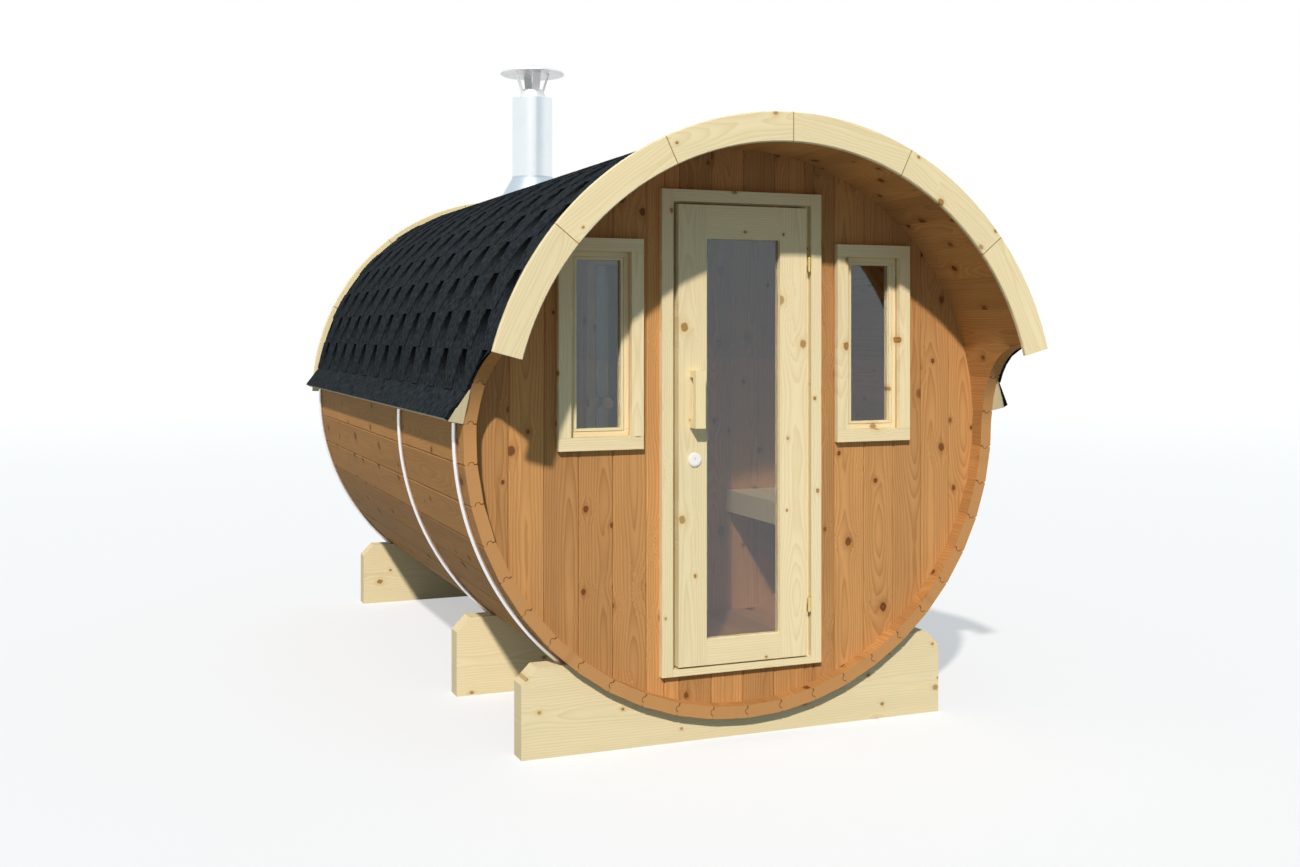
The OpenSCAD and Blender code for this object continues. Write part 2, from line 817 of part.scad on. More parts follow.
// Lining of the doorway, and the stops that the leaf closes against
module door_jamb() {
  y0 = front_wall_y + fit;
  y1 = front_wall_y + wall_t;
  color(spruce)
    difference() {
      union() {
        for (s = [-1, 1]) {
          x = s > 0 ? way_x : -rough_x;
          block([x, y0, sill_z], [x + jamb_t, y1, rough_top]);
          edge = s > 0 ? way_x - fit - stop_w : -way_x + fit;
          block([edge, stop_y, sill_top + fit], [edge + stop_w, y1, jamb_top - fit]);
        }
        block([-way_x + seam, y0, jamb_top], [way_x - seam, y1, rough_top]);
        block([-way_x + seam, y0, sill_z], [way_x - seam, y1, sill_top]);
      }
      for (z = [hinge_low, hinge_high]) frame_rod(z, rod_d + 2 * fit);
    }
}

// Rod of a hinge half that runs back into the jamb
module frame_rod(z, d) {
  translate([hinge_x, hinge_y, z - knuckle_h / 2])
    rotate([-90, 0, 0]) cylinder(h = front_wall_y - hinge_y + rod_in, d = d);
}

// Rod of a hinge half that runs slantwise into the leaf's edge
module leaf_rod(z, d) {
  translate([hinge_x, hinge_y, z + knuckle_h / 2])
    rotate([0, 90, 135]) cylinder(h = rod_l, d = d);
}

// Floor left above a pin in its knuckle, and height of the tip below a hinge
pin_end = 3;
tip_h = 4;

// Lower half of a hinge: a knuckle with the pin standing in it
module pin_half(x, y, z) {
  foot = z - knuckle_h;
  translate([x, y, foot]) cylinder(h = knuckle_h - fit, d = knuckle_d);
  translate([x, y, foot]) cylinder(h = 2 * knuckle_h - 2 * pin_end, d = pin_d);
  translate([x, y, foot - tip_h]) cylinder(h = tip_h + overlap, d = knuckle_d - tip_h);
}

// Upper half of a hinge: a knuckle bored for the pin
module knuckle_half(x, y, z) {
  translate([x, y, z]) cylinder(h = knuckle_h, d = knuckle_d);
}

module pin_bore(x, y, z) {
  translate([x, y, z - overlap]) cylinder(h = knuckle_h - pin_end + overlap, d = pin_d + 2 * pin_play);
}

module hinge_pins() {
  color(gold_brass)
    for (z = [hinge_low, hinge_high]) {
      pin_half(hinge_x, hinge_y, z);
      frame_rod(z, rod_d);
    }
}

module hinge_knuckles() {
  color(gold_brass)
    for (z = [hinge_low, hinge_high])
      difference() {
        union() {
          knuckle_half(hinge_x, hinge_y, z);
          leaf_rod(z, rod_d);
        }
        pin_bore(hinge_x, hinge_y, z);
      }
}

// Leaf of stiles and rails, grooved for the glass
module door_leaf() {
  half = leaf_w / 2;
  y1 = leaf_y + leaf_t;
  inner = half - stile_w - seam;
  color(spruce)
    difference() {
      union() {
        block([-half, leaf_y, leaf_z], [-half + stile_w, y1, leaf_top]);
        block([half - stile_w, leaf_y, leaf_z], [half, y1, leaf_top]);
        block([-inner, leaf_y, leaf_z], [inner, y1, leaf_z + bottom_rail_h]);
        block([-inner, leaf_y, leaf_top - top_rail_h], [inner, y1, leaf_top]);
      }
      door_pane(fit);
      for (z = [hinge_low, hinge_high]) leaf_rod(z, rod_d + 2 * fit);
    }
}

module door_pane(grow = 0) {
  half = leaf_w / 2 - stile_w + glass_in + grow;
  y = leaf_y + leaf_t / 2;
  block([-half, y - glass_t / 2 - grow, leaf_z + bottom_rail_h - glass_in - grow],
        [half, y + glass_t / 2 + grow, leaf_top - top_rail_h + glass_in + grow]);
}

module door_glass() { color(tinted) door_pane(); }

// Bar handle on two blocks, flush with its ends
module door_handle() {
  bar_y = leaf_y - handle_out - handle_t;
  half = handle_w / 2;
  color(spruce) {
    block([handle_x - half, bar_y, handle_z - handle_l / 2],
          [handle_x + half, bar_y + handle_t, handle_z + handle_l / 2]);
    for (s = [-1, 1]) {
      z = handle_z + s * (handle_l - handle_block_h) / 2;
      block([handle_x - half, bar_y + handle_t - overlap, z - handle_block_h / 2],
            [handle_x + half, leaf_y, z + handle_block_h / 2]);
    }
  }
}

// Round lock rosette with a keyhole
module door_lock() {
  rim_h = 5;
  dome_h = 7;
  rim_w = 4;
  key_d = 7;
  key_w = 3.2;
  key_l = 12;
  key_in = 2;
  color(white_cap)
    translate([handle_x, leaf_y, rosette_z]) rotate([90, 0, 0])
      difference() {
        union() {
          cylinder(h = rim_h, d = rosette_d);
          cylinder(h = dome_h, d = rosette_d - 2 * rim_w);
        }
        translate([0, key_l / 4, key_in]) cylinder(h = dome_h, d = key_d);
        translate([-key_w / 2, -3 * key_l / 4, key_in]) cube([key_w, key_l, dome_h]);
      }
}

// Rod of an inner hinge half that runs slantwise into the frame
module inner_frame_rod(z, d) {
  translate([inner_hinge_x, inner_hinge_y, z - knuckle_h / 2])
    rotate([0, 90, 45]) cylinder(h = rod_l + d - rod_d, d = d);
}

// Fittings of the inner door: pins on the frame and clamps on the glass
module inner_hinge_pins() {
  color(steel)
    for (z = [inner_hinge_low, inner_hinge_high]) {
      pin_half(inner_hinge_x, inner_hinge_y, z);
      inner_frame_rod(z, rod_d);
    }
}

module inner_hinge_clamps() {
  wide = 28;
  cheek = 6;
  rim = 3;
  x1 = inner_leaf_x + rim / 2;
  color(steel)
    for (z = [inner_hinge_low, inner_hinge_high])
      difference() {
        union() {
          knuckle_half(inner_hinge_x, inner_hinge_y, z);
          translate([inner_hinge_x, inner_hinge_y, z + knuckle_h / 2])
            rotate([0, 90, 135]) cylinder(h = rod_in, d = rod_d);
          block([x1 - wide, inner_glass_y - cheek, z - rim],
                [x1, inner_glass_y + inner_glass_t + cheek, z + knuckle_h + rim]);
        }
        pin_bore(inner_hinge_x, inner_hinge_y, z);
        inner_pane(fit);
      }
}

module inner_pane(grow = 0) {
  block([-inner_leaf_x - grow, inner_glass_y - grow, inner_leaf_z - grow],
        [inner_leaf_x + grow, inner_glass_y + inner_glass_t + grow, inner_leaf_top + grow]);
}

// Knobs of the inner door and the spindle that joins them through the glass
knob_in = 36;
knob_x = -inner_leaf_x + knob_in;
spindle_d = 10;

module inner_door_glass() {
  color(tinted)
    difference() {
      inner_pane();
      translate([knob_x, inner_glass_y + inner_glass_t / 2, floor_top + knob_h])
        rotate([90, 0, 0]) cylinder(h = 2 * knob_in, d = spindle_d + 2 * fit, center = true);
    }
}

// Turned knobs on both sides of the glass: a neck, a flare, a rim and a rounded face
module inner_door_knob() {
  neck_r = spindle_d / 2 + 6;
  neck_l = 14;
  flare = 4;
  rim_l = 8;
  round = 3;
  rim_r = knob_d / 2;
  rim_z = neck_l + 2 * flare;
  color(spruce)
    translate([knob_x, inner_glass_y + inner_glass_t / 2, floor_top + knob_h])
      rotate([90, 0, 0]) {
        cylinder(h = inner_glass_t + 2 * overlap, d = spindle_d, center = true);
        for (s = [0, 1])
          mirror([0, 0, s])
            translate([0, 0, inner_glass_t / 2 + fit])
              rotate_extrude()
                polygon([
                  [0, 0], [neck_r, 0], [neck_r, neck_l], [rim_r - flare / 2, neck_l + flare], [rim_r, rim_z],
                  [rim_r, rim_z + rim_l], [rim_r - round, rim_z + rim_l + round], [0, rim_z + rim_l + round]
                ]);
      }
}

cradle_front();
cradle_middle();
cradle_rear();
staves_floor();
staves_lower_right();
staves_lower_left();
staves_side_right();
staves_side_left();
staves_upper_right();
staves_upper_left();
staves_ridge();
hoops();
front_wall_left();
front_wall_right();
front_wall_middle();
rear_wall();
partition_left();
partition_right();
partition_head();
inner_door_frame();
floor_boards();
bench_top();
bench_front();
front_arch();
rear_arch();
shingles_left();
shingles_right();
eave_batten_left();
eave_batten_right();
chimney_pipe();
chimney_flashing();
rain_cap();
window_left_casing();
window_left_sash();
window_left_glass();
window_right_casing();
window_right_sash();
window_right_glass();
door_casing();
door_jamb();
hinge_pins();
door_leaf();
door_glass();
door_handle();
door_lock();
hinge_knuckles();
inner_hinge_pins();
inner_door_glass();
inner_door_knob();
inner_hinge_clamps();
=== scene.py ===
"""Barrel sauna: wood, felt, steel and glass finishes, shingle courses and a plain studio."""

import logging
import math
from dataclasses import dataclass, replace
from enum import Enum

import bmesh
import bpy
import numpy as np
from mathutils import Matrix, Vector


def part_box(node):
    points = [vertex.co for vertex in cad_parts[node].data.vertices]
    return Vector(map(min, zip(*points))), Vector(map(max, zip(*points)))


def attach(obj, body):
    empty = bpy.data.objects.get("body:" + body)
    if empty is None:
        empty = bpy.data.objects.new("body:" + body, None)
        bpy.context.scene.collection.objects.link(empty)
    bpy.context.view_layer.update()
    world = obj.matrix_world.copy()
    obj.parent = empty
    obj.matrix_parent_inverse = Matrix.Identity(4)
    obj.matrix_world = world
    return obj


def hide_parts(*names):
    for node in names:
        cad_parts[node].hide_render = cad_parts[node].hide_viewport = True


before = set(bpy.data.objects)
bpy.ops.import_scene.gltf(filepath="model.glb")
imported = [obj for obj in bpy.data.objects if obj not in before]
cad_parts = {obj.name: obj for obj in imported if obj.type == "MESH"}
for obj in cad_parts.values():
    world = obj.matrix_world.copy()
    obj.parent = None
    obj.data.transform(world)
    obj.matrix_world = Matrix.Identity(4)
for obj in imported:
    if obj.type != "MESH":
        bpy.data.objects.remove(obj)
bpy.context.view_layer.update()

LOG = logging.getLogger("barrel_sauna")
SHELL = "shell"
SIDES = (("right", 1), ("left", -1))
MERGE_M = 2e-5

Socket = bpy.types.NodeSocket
Material = bpy.types.Material
Colour = tuple[float, float, float]
Pair = tuple[float, float]
Point = tuple[float, float, float]
Names = tuple[str, ...]
Array = np.ndarray
Shape = tuple[Array, Array]


class Grain(Enum):
    """How the boards of a piece run, which sets where its grain goes."""

    STAVES = "staves"
    WALL = "wall"
    ALONG_X = "along_x"
    ALONG_Y = "along_y"
    ARCH = "arch"
    STILES = "stiles"
    RAILS = "rails"


class Kind(Enum):
    """What a socket of a node group carries."""

    VALUE = "NodeSocketFloat"
    VECTOR = "NodeSocketVector"
    COLOUR = "NodeSocketColor"


@dataclass(frozen=True)
class Barrel:
    """Sizes of the barrel that the finishes and the roof follow, in metres."""

    axis_z: float = 1.055
    outer_r: float = 0.988
    stave_t: float = 0.042
    stave_n: int = 47
    bead_r: float = 0.009
    board_w: float = 0.119
    board_shift: float = 0.01
    arch_mid: float = 0.97
    arch_step: float = math.radians(25.5)
    front_y: float = -1.65
    arch_t: float = 0.018

    @property
    def mid_r(self) -> float:
        """Radius of the middle of a stave's thickness."""
        return self.outer_r * math.cos(math.pi / self.stave_n) - self.stave_t / 2

    @property
    def rear_y(self) -> float:
        """Where the roof ends, at the rear arch."""
        return -self.front_y - self.arch_t


BARREL = Barrel()


class Value:
    """A number or colour in a node tree. The signs of arithmetic on it add Math nodes."""

    def __init__(self, tree: "Tree", socket: Socket) -> None:
        """Keeps the tree and the socket that carries the value."""
        self.tree = tree
        self.socket = socket

    def __add__(self, other: object) -> "Value":
        """The sum of two values."""
        return self.tree.math("ADD", self, other)

    def __sub__(self, other: object) -> "Value":
        """The value less another."""
        return self.tree.math("SUBTRACT", self, other)

    def __rsub__(self, other: object) -> "Value":
        """Another number less the value."""
        return self.tree.math("SUBTRACT", other, self)

    def __mul__(self, other: object) -> "Value":
        """The product of two values."""
        return self.tree.math("MULTIPLY", self, other)

    def __truediv__(self, other: object) -> "Value":
        """The value over another."""
        return self.tree.math("DIVIDE", self, other)

    def __pow__(self, power: float) -> "Value":
        """The value raised to a power."""
        return self.tree.math("POWER", self, power)

    def __abs__(self) -> "Value":
        """The value without its sign."""
        return self.tree.math("ABSOLUTE", self)

    def __lt__(self, other: object) -> "Value":
        """1 where the value is the smaller, else 0."""
        return self.tree.math("LESS_THAN", self, other)

    def __gt__(self, other: object) -> "Value":
        """1 where the value is the greater, else 0."""
        return self.tree.math("GREATER_THAN", self, other)


class Tree:
    """A node tree under construction, with short calls for the common nodes."""

    def __init__(self, tree: bpy.types.NodeTree) -> None:
        """Keeps the tree and empties it."""
        self.tree = tree
        tree.nodes.clear()

    def add(self, kind: str, **settings: object) -> bpy.types.Node:
        """Adds a node.

        Args:
            kind: node type without the ShaderNode prefix.
            settings: properties to set on it.

        Returns:
            The new node.
        """
        made = self.tree.nodes.new("ShaderNode" + kind)
        for key, value in settings.items():
            setattr(made, key, value)
        return made

    def feed(self, socket: Socket, value: object) -> None:
        """Links a value into an input, or sets the input's own number or colour.

        Args:
            socket: the input.
            value: a value, a socket, a number or a colour.
        """
        if isinstance(value, Value):
            value = value.socket
        if isinstance(value, Socket):
            self.tree.links.new(value, socket)
        else:
            socket.default_value = (*value, 1.0) if isinstance(value, tuple) else value

    def fed(self, made: bpy.types.Node, inputs: dict, out: int | str = 0) -> Value:
        """Feeds a node and reads it.

        Args:
            made: the node.
            inputs: what its inputs take, by number or name.
            out: number or name of the output to read.

        Returns:
            The value of that output.
        """
        for label, value in inputs.items():
            self.feed(made.inputs[label], value)
        return Value(self, made.outputs[out])

    def math(self, operation: str, *values: object) -> Value:
        """Result of one Math node on numbers or values."""
        return self.fed(self.add("Math", operation=operation), dict(enumerate(values)))

    def hypot(self, first: Value, second: Value) -> Value:
        """Length of a flat vector: the root of the sum of both squares."""
        return self.math("SQRT", first ** 2.0 + second ** 2.0)

    def split(self, vector: object) -> tuple[Value, ...]:
        """Takes a vector or a colour apart.

        Args:
            vector: a value or a socket that carries it.

        Returns:
            Its three parts.
        """
        made = self.add("SeparateXYZ")
        self.feed(made.inputs[0], vector)
        return tuple(Value(self, part) for part in made.outputs)

    def join(self, *parts: object) -> Value:
        """A vector from three parts."""
        return self.fed(self.add("CombineXYZ"), dict(enumerate(parts)))

    def noise(self, at: object, scale: float, detail: float = 2.0, rough: float = 0.5) -> Value:
        """Noise about 0.5, by features per metre, octaves and the share of the finer octaves."""
        inputs = {"Vector": at, "Scale": scale, "Detail": detail, "Roughness": rough}
        return self.fed(self.add("TexNoise"), inputs)

    def chance(self, seed: object) -> Value:
        """A random value from 0 to 1 that is fixed by a seed."""
        return self.fed(self.add("TexWhiteNoise", noise_dimensions="1D"), {"W": seed}, "Value")

    def mix(self, factor: object, first: object, second: object, blend: str = "MIX") -> Value:
        """A mix of two colours by the share of the second."""
        made = self.add("Mix", data_type="RGBA", blend_type=blend)
        return self.fed(made, {0: factor, 6: first, 7: second}, 2)

    def blend(self, factor: object, first: object, second: object) -> Value:
        """A mix of two values: first + factor * (second - first)."""
        return self.fed(self.add("Mix", data_type="FLOAT"), {0: factor, 2: first, 3: second})

    def ease(self, value: object, low: float, high: float) -> Value:
        """A smooth step from 0 at low to 1 at high, or down where low is the larger."""
        made = self.add("MapRange", interpolation_type="SMOOTHSTEP")
        return self.fed(made, {0: value, 1: low, 2: high})

    def end(self, shader: bpy.types.Node, kind: str = "OutputMaterial") -> None:
        """Leads a shader to the output of the tree."""
        self.feed(self.add(kind).inputs[0], shader.outputs[0])

    def surface(self, colour: Value, rough: Value, height: object, relief: Pair, plain: dict) -> None:
        """Ends a material with a Principled shader on a bump.

        Args:
            colour: its base colour.
            rough: its roughness.
            height: its relief, from 0 to 1.
            relief: strength of the bump, and its depth in metres.
            plain: other inputs of the shader that stay even.
        """
        strength, depth = relief
        normal = self.fed(self.add("Bump"), {"Strength": strength, "Distance": depth, "Height": height})
        shader = self.add("BsdfPrincipled")
        self.fed(shader, {"Base Color": colour, "Roughness": rough, "Normal": normal, **plain})
        self.end(shader)


class Group:
    """A shader node group that is built once and placed in each material with its own values."""

    def __init__(self, name: str, inputs: dict[str, Kind]) -> None:
        """Opens the group.

        Args:
            name: name of the group.
            inputs: its inputs and what each carries.
        """
        self.tree = bpy.data.node_groups.new(name, "ShaderNodeTree")
        for label, kind in inputs.items():
            self.tree.interface.new_socket(name=label, in_out="INPUT", socket_type=kind.value)
        self.t = Tree(self.tree)
        source = self.tree.nodes.new("NodeGroupInput")
        self.given = {socket.name: Value(self.t, socket) for socket in source.outputs}

    def close(self, outputs: dict[str, Value]) -> None:
        """Ends the group with its outputs, of which the one named Color is a colour.

        Args:
            outputs: what it puts out, by name.
        """
        for label in outputs:
            kind = Kind.COLOUR if label == "Color" else Kind.VALUE
            self.tree.interface.new_socket(name=label, in_out="OUTPUT", socket_type=kind.value)
        sink = self.tree.nodes.new("NodeGroupOutput")
        for label, value in outputs.items():
            self.t.feed(sink.inputs[label], value)

    def place(self, t: Tree, values: dict) -> dict[str, Value]:
        """Places the group in a material.

        Args:
            t: tree of the material.
            values: what its inputs take, by name.

        Returns:
            Its outputs by name.
        """
        made = t.add("Group", node_tree=self.tree)
        for label, value in values.items():
            t.feed(made.inputs[label], value)
        return {socket.name: Value(t, socket) for socket in made.outputs}


def new_material(name: str) -> tuple[Material, Tree]:
    """Opens a material.

    Args:
        name: its name.

    Returns:
        The empty material, and its tree.
    """
    made = bpy.data.materials.new(name)
    made.use_nodes = True
    return made, Tree(made.node_tree)


Place = dict[str, Value]


class BoardLayout:
    """Place of a surface point on its own board, as a node group for one way that boards run.

    Across, Along and Depth are metres on the board and Board is its number. End says how far the
    face shows end grain, and Line marks the joints that are drawn on it.
    """

    INPUTS = {"At": Kind.VECTOR, "Facing": Kind.VECTOR, "Middle": Kind.VALUE, "Half": Kind.VALUE}
    END_EDGE = (0.6, 0.85)
    BEAD_EDGE = (0.0022, 0.0006)
    ARC_EDGE = (0.0018, 0.0005)
    BEAD_SHADE = 0.85
    ARCH_EDGE = (0.0026, 0.0008)
    ARCH_SHADE = 0.8
    ARCH_BOARDS = 17.0
    WALL_BOARDS = 40.0
    CRADLE_MID = 0.13
    CRADLES_PER_M = 1.4
    CRADLE_FIRST = 14.0
    PLANKS_PER_M = 7.0
    POSTS_PER_M = 5.0
    RAILS_PER_M = 1.5
    RAIL_FIRST = 70.0

    def __init__(self, grain: Grain) -> None:
        """Builds the group.

        Args:
            grain: how the boards run.
        """
        self.group = Group(f"boards_{grain.value}", self.INPUTS)
        self.t = self.group.t
        self.x, self.y, self.z = self.t.split(self.group.given["At"])
        self.nx, self.ny, self.nz = (abs(part) for part in self.t.split(self.group.given["Facing"]))
        self.rise = self.z - BARREL.axis_z
        self.middle, self.half = self.group.given["Middle"], self.group.given["Half"]
        self.group.close(getattr(self, grain.value)())

    def staves(self) -> Place:
        """Staves: the angle round the axis in steps gives the number, and its rest the place across.

        Returns:
            The place on the board, by name.
        """
        step = 2 * math.pi / BARREL.stave_n
        turn = self.t.math("ARCTAN2", self.x, self.rise) / step
        board = self.t.math("ROUND", turn)
        across = (turn - board) * (step * BARREL.mid_r)
        depth = self.t.hypot(self.x, self.rise) - BARREL.mid_r
        cut = self.t.ease(self.ny, *self.END_EDGE)
        return {"Across": across, "Along": self.y, "Depth": depth, "Board": board, "End": self.ny,
                "Line": self.bead_line(across, depth) * cut * self.BEAD_SHADE}

    def bead_line(self, across: Value, depth: Value) -> Value:
        """Dark line of the bead-and-cove joint on a stave's end.

        The line is straight at both edges outside the bead, and an arc of the bead's radius
        about the left edge inside it.

        Args:
            across: place across the stave.
            depth: place in its thickness.

        Returns:
            A mask of the line.
        """
        edge = (depth + BARREL.mid_r) * math.tan(math.pi / BARREL.stave_n)
        straight = self.t.ease(edge - abs(across), *self.BEAD_EDGE) * (abs(depth) > BARREL.bead_r)
        reach = self.t.hypot(across + edge, depth)
        return self.t.math("MAXIMUM", straight, self.t.ease(abs(reach - BARREL.bead_r), *self.ARC_EDGE))

    def wall(self) -> Place:
        """Upright wall boards of one cover width, numbered apart on each wall.

        Returns:
            The place on the board, by name.
        """
        cover = self.x - BARREL.board_shift
        board = self.t.math("FLOOR", cover / BARREL.board_w)
        across = cover - (board + 0.5) * BARREL.board_w
        wall = self.t.math("ROUND", self.y) * self.WALL_BOARDS
        return {"Across": across, "Along": self.z, "Board": board + wall, "End": self.nz}

    def arch(self) -> Place:
        """Arch boards: straight grain along the chord of each step, with a line where two boards meet.

        Returns:
            The place on the board, by name.
        """
        rear = (self.y > 0.0) * (BARREL.arch_step / 2)
        step = (self.t.math("ARCTAN2", self.rise, self.x) + rear - math.pi / 2) / BARREL.arch_step
        number = self.t.math("FLOOR", step)
        radius = self.t.hypot(self.x, self.rise)
        lean = (step - number) * BARREL.arch_step - BARREL.arch_step / 2
        level = radius * self.t.math("COSINE", lean)
        along = radius * self.t.math("SINE", lean)
        board = number + self.t.math("SIGN", self.y) * self.ARCH_BOARDS
        gap = level * math.tan(BARREL.arch_step / 2) - abs(along)
        return {"Across": level - BARREL.arch_mid, "Along": along + board, "Board": board,
                "Line": self.t.ease(gap, *self.ARCH_EDGE) * self.ARCH_SHADE}

    def along_x(self) -> Place:
        """Cradles: level planks across the barrel, numbered along it."""
        board = self.t.math("ROUND", self.y * self.CRADLES_PER_M) + self.CRADLE_FIRST
        return {"Across": self.z - self.CRADLE_MID, "Along": self.x, "Board": board, "End": self.nx}

    def along_y(self) -> Place:
        """Planks along the barrel, numbered across it.

        Returns:
            The place on the board, by name.
        """
        board = self.t.math("ROUND", self.x * self.PLANKS_PER_M)
        across = self.x - board / self.PLANKS_PER_M
        return {"Across": across, "Along": self.y, "Board": board, "End": self.ny}

    def stiles(self) -> Place:
        """A frame whose sides run through: upright where a point lies far enough off the middle."""
        return self.framed(abs(self.x - self.middle) > self.half)

    def rails(self) -> Place:
        """A frame whose head and foot run through: upright where a point lies near enough to the middle."""
        return self.framed(abs(self.z - self.middle) < self.half)

    def framed(self, upright: Value) -> Place:
        """Boards of a frame.

        Args:
            upright: 1 on the stiles and 0 on the rails.

        Returns:
            The place on the board, by name.
        """
        t = self.t
        post = t.math("ROUND", self.x * self.POSTS_PER_M)
        rail = t.math("ROUND", self.z * self.RAILS_PER_M)
        level, aside = self.z - rail / self.RAILS_PER_M, self.x - post / self.POSTS_PER_M
        pairs = {"Across": (level, aside), "Along": (self.x, self.z),
                 "Board": (rail + self.RAIL_FIRST, post), "End": (self.nx, self.nz)}
        return {label: t.blend(upright, *pair) for label, pair in pairs.items()}


class PlankFigure:
    """Growth rings, fibres, knots and colours of a planed board, as one node group.

    A board is read in its own metres: across its face, along its grain and into its depth.
    A ring's number is the distance from the log's heart, which wanders above and below the face
    along the board, so that the rings open into pointed arches.
    Knots sit in stretched cells, and the rings bend round each knot by a bell of its distance.
    """

    PLACE = ("Across", "Along", "Depth", "Board", "End", "Line")
    LIVELY = ("Tone", "Ring", "Knots", "Knot Size")
    COLOURS = ("Early", "Late", "Sawn", "Knot", "Core", "Halo")
    BOARD_SPREAD = (37.0, 3.1)
    CELL = (0.098, 0.33)
    CELL_JITTER = 0.9
    KNOT_STRETCH = 0.78
    KNOT_LEAST, KNOT_POWER, KNOT_FAINT = 0.4, 1.6, 0.55
    WOBBLE_PER_M, WOBBLE_LEAST, WOBBLE = 110.0, 0.6, 0.8
    KNOT_EDGES = ((1.15, 0.75), (0.8, 0.2), (3.0, 0.8))
    BEND_EDGE, BEND = (6.0, 0.3), 0.85
    PITH_SEED, PITH_SPREAD = 11.3, 0.07
    WANDER_PER_M, WANDER_MID, WANDER, WANDER_DETAIL = 0.95, 0.47, 0.26, 1.5
    HEART_IN = 0.02
    RINGS_PER_M = 118.0
    RIPPLES_PER_M, RIPPLE, RIPPLE_NOISE = (22.0, 3.4), 1.6, (2.0, 0.5)
    LATE_EDGE = (1.0, 0.88)
    FIBRES_PER_M, FIBRE_NOISE = (520.0, 8.0), (3.0, 0.6)
    CLOUDS_PER_M, CLOUD = (18.0, 1.6), 1.3
    TONE_SEED = 51.7
    FIBRE_UP, RING_UP, KNOT_UP = 0.5, -0.35, 0.4
    STREAK_EDGE, STREAK = (0.62, 0.25), 0.22
    HALO = 0.5
    LOG_OFF = (0.012, 0.055)
    YEARS_PER_M, YEAR_POWER, YEAR = 260.0, 1.6, 0.5
    SAWN = 0.8

    def __init__(self) -> None:
        """Builds the group once."""
        self.group = Group("plank_figure", {**dict.fromkeys(self.PLACE + self.LIVELY, Kind.VALUE),
                                            **dict.fromkeys(self.COLOURS, Kind.COLOUR)})
        self.t, given = self.group.t, self.group.given
        self.across, self.along, self.depth, self.board = (given[label] for label in self.PLACE[:4])
        self.shift = self.t.chance(self.board) * self.BOARD_SPREAD[0]
        knots, bent = self.knots(given["Knots"], given["Knot Size"])
        ring = self.ring(bent)
        fibre = self.waves(bent, self.FIBRES_PER_M, self.FIBRE_NOISE)
        cloud = self.waves(bent, self.CLOUDS_PER_M, self.FIBRE_NOISE)
        tone = self.t.chance(self.board + self.TONE_SEED) - 0.5 + (cloud - 0.5) * self.CLOUD
        height = fibre * self.FIBRE_UP + ring * self.RING_UP + knots[0] * self.KNOT_UP
        colour = self.colour(ring, fibre, tone, knots)
        self.group.close({"Color": colour, "Ring": ring, "Height": height})

    def waves(self, bent: Value, per_m: Pair, finer: Pair) -> Value:
        """Noise stretched over a board, by features per metre across and along, and its finer octaves."""
        at = self.t.join(bent * per_m[0], self.along * per_m[1], self.shift)
        return self.t.noise(at, 1.0, *finer)

    def knots(self, share: Value, largest: Value) -> tuple[tuple[Value, ...], Value]:
        """Knots of a board.

        Args:
            share: share of the cells that hold a knot.
            largest: about the radius of a large knot.

        Returns:
            Masks of the knots, their cores and their halos, and the place across bent round them.
        """
        t = self.t
        at = t.join(self.across / self.CELL[0] + self.shift,
                    self.along / self.CELL[1] + self.shift * self.BOARD_SPREAD[1], 0.0)
        cells = t.add("TexVoronoi", voronoi_dimensions="2D", feature="F1")
        centre = t.fed(cells, {"Vector": at, "Scale": 1.0, "Randomness": self.CELL_JITTER}, "Position")
        aside, ahead, _ = t.split(t.fed(t.add("VectorMath", operation="SUBTRACT"), {0: at, 1: centre}))
        aside = aside * self.CELL[0]
        ahead = ahead * (self.CELL[1] * self.KNOT_STRETCH)
        large, held, strong = t.split(cells.outputs["Color"])
        size = largest * (large ** self.KNOT_POWER + self.KNOT_LEAST)
        wobble = t.noise(t.join(aside, ahead, self.shift), self.WOBBLE_PER_M)
        steps = t.hypot(aside, ahead) / size * (wobble * self.WOBBLE + self.WOBBLE_LEAST)
        present = held < share
        strength = present * t.blend(strong, self.KNOT_FAINT, 1.0)
        masks = tuple(t.ease(steps, *edge) * strength for edge in self.KNOT_EDGES)
        bell = t.ease(steps, *self.BEND_EDGE) * present
        return masks, self.across - aside * bell * self.BEND

    def ring(self, bent: Value) -> Value:
        """Late wood of the rings: it grows as the square of the year's part that has gone by.

        Args:
            bent: place across, bent round the knots.

        Returns:
            A value from 0 in early wood to 1 in late wood.
        """
        t = self.t
        pith = (t.chance(self.board + self.PITH_SEED) - 0.5) * self.PITH_SPREAD
        wander = t.noise(t.join(self.along * self.WANDER_PER_M, self.shift, 0.0), 1.0, self.WANDER_DETAIL)
        heart = (wander - self.WANDER_MID) * self.WANDER + self.depth
        ripple = self.waves(bent, self.RIPPLES_PER_M, self.RIPPLE_NOISE)
        radius = t.math("SQRT", (bent - pith) ** 2.0 + (heart ** 2.0 + self.HEART_IN ** 2))
        year = t.math("FRACT", radius * self.RINGS_PER_M + ripple * self.RIPPLE)
        return year ** 2.0 * t.ease(year, *self.LATE_EDGE)

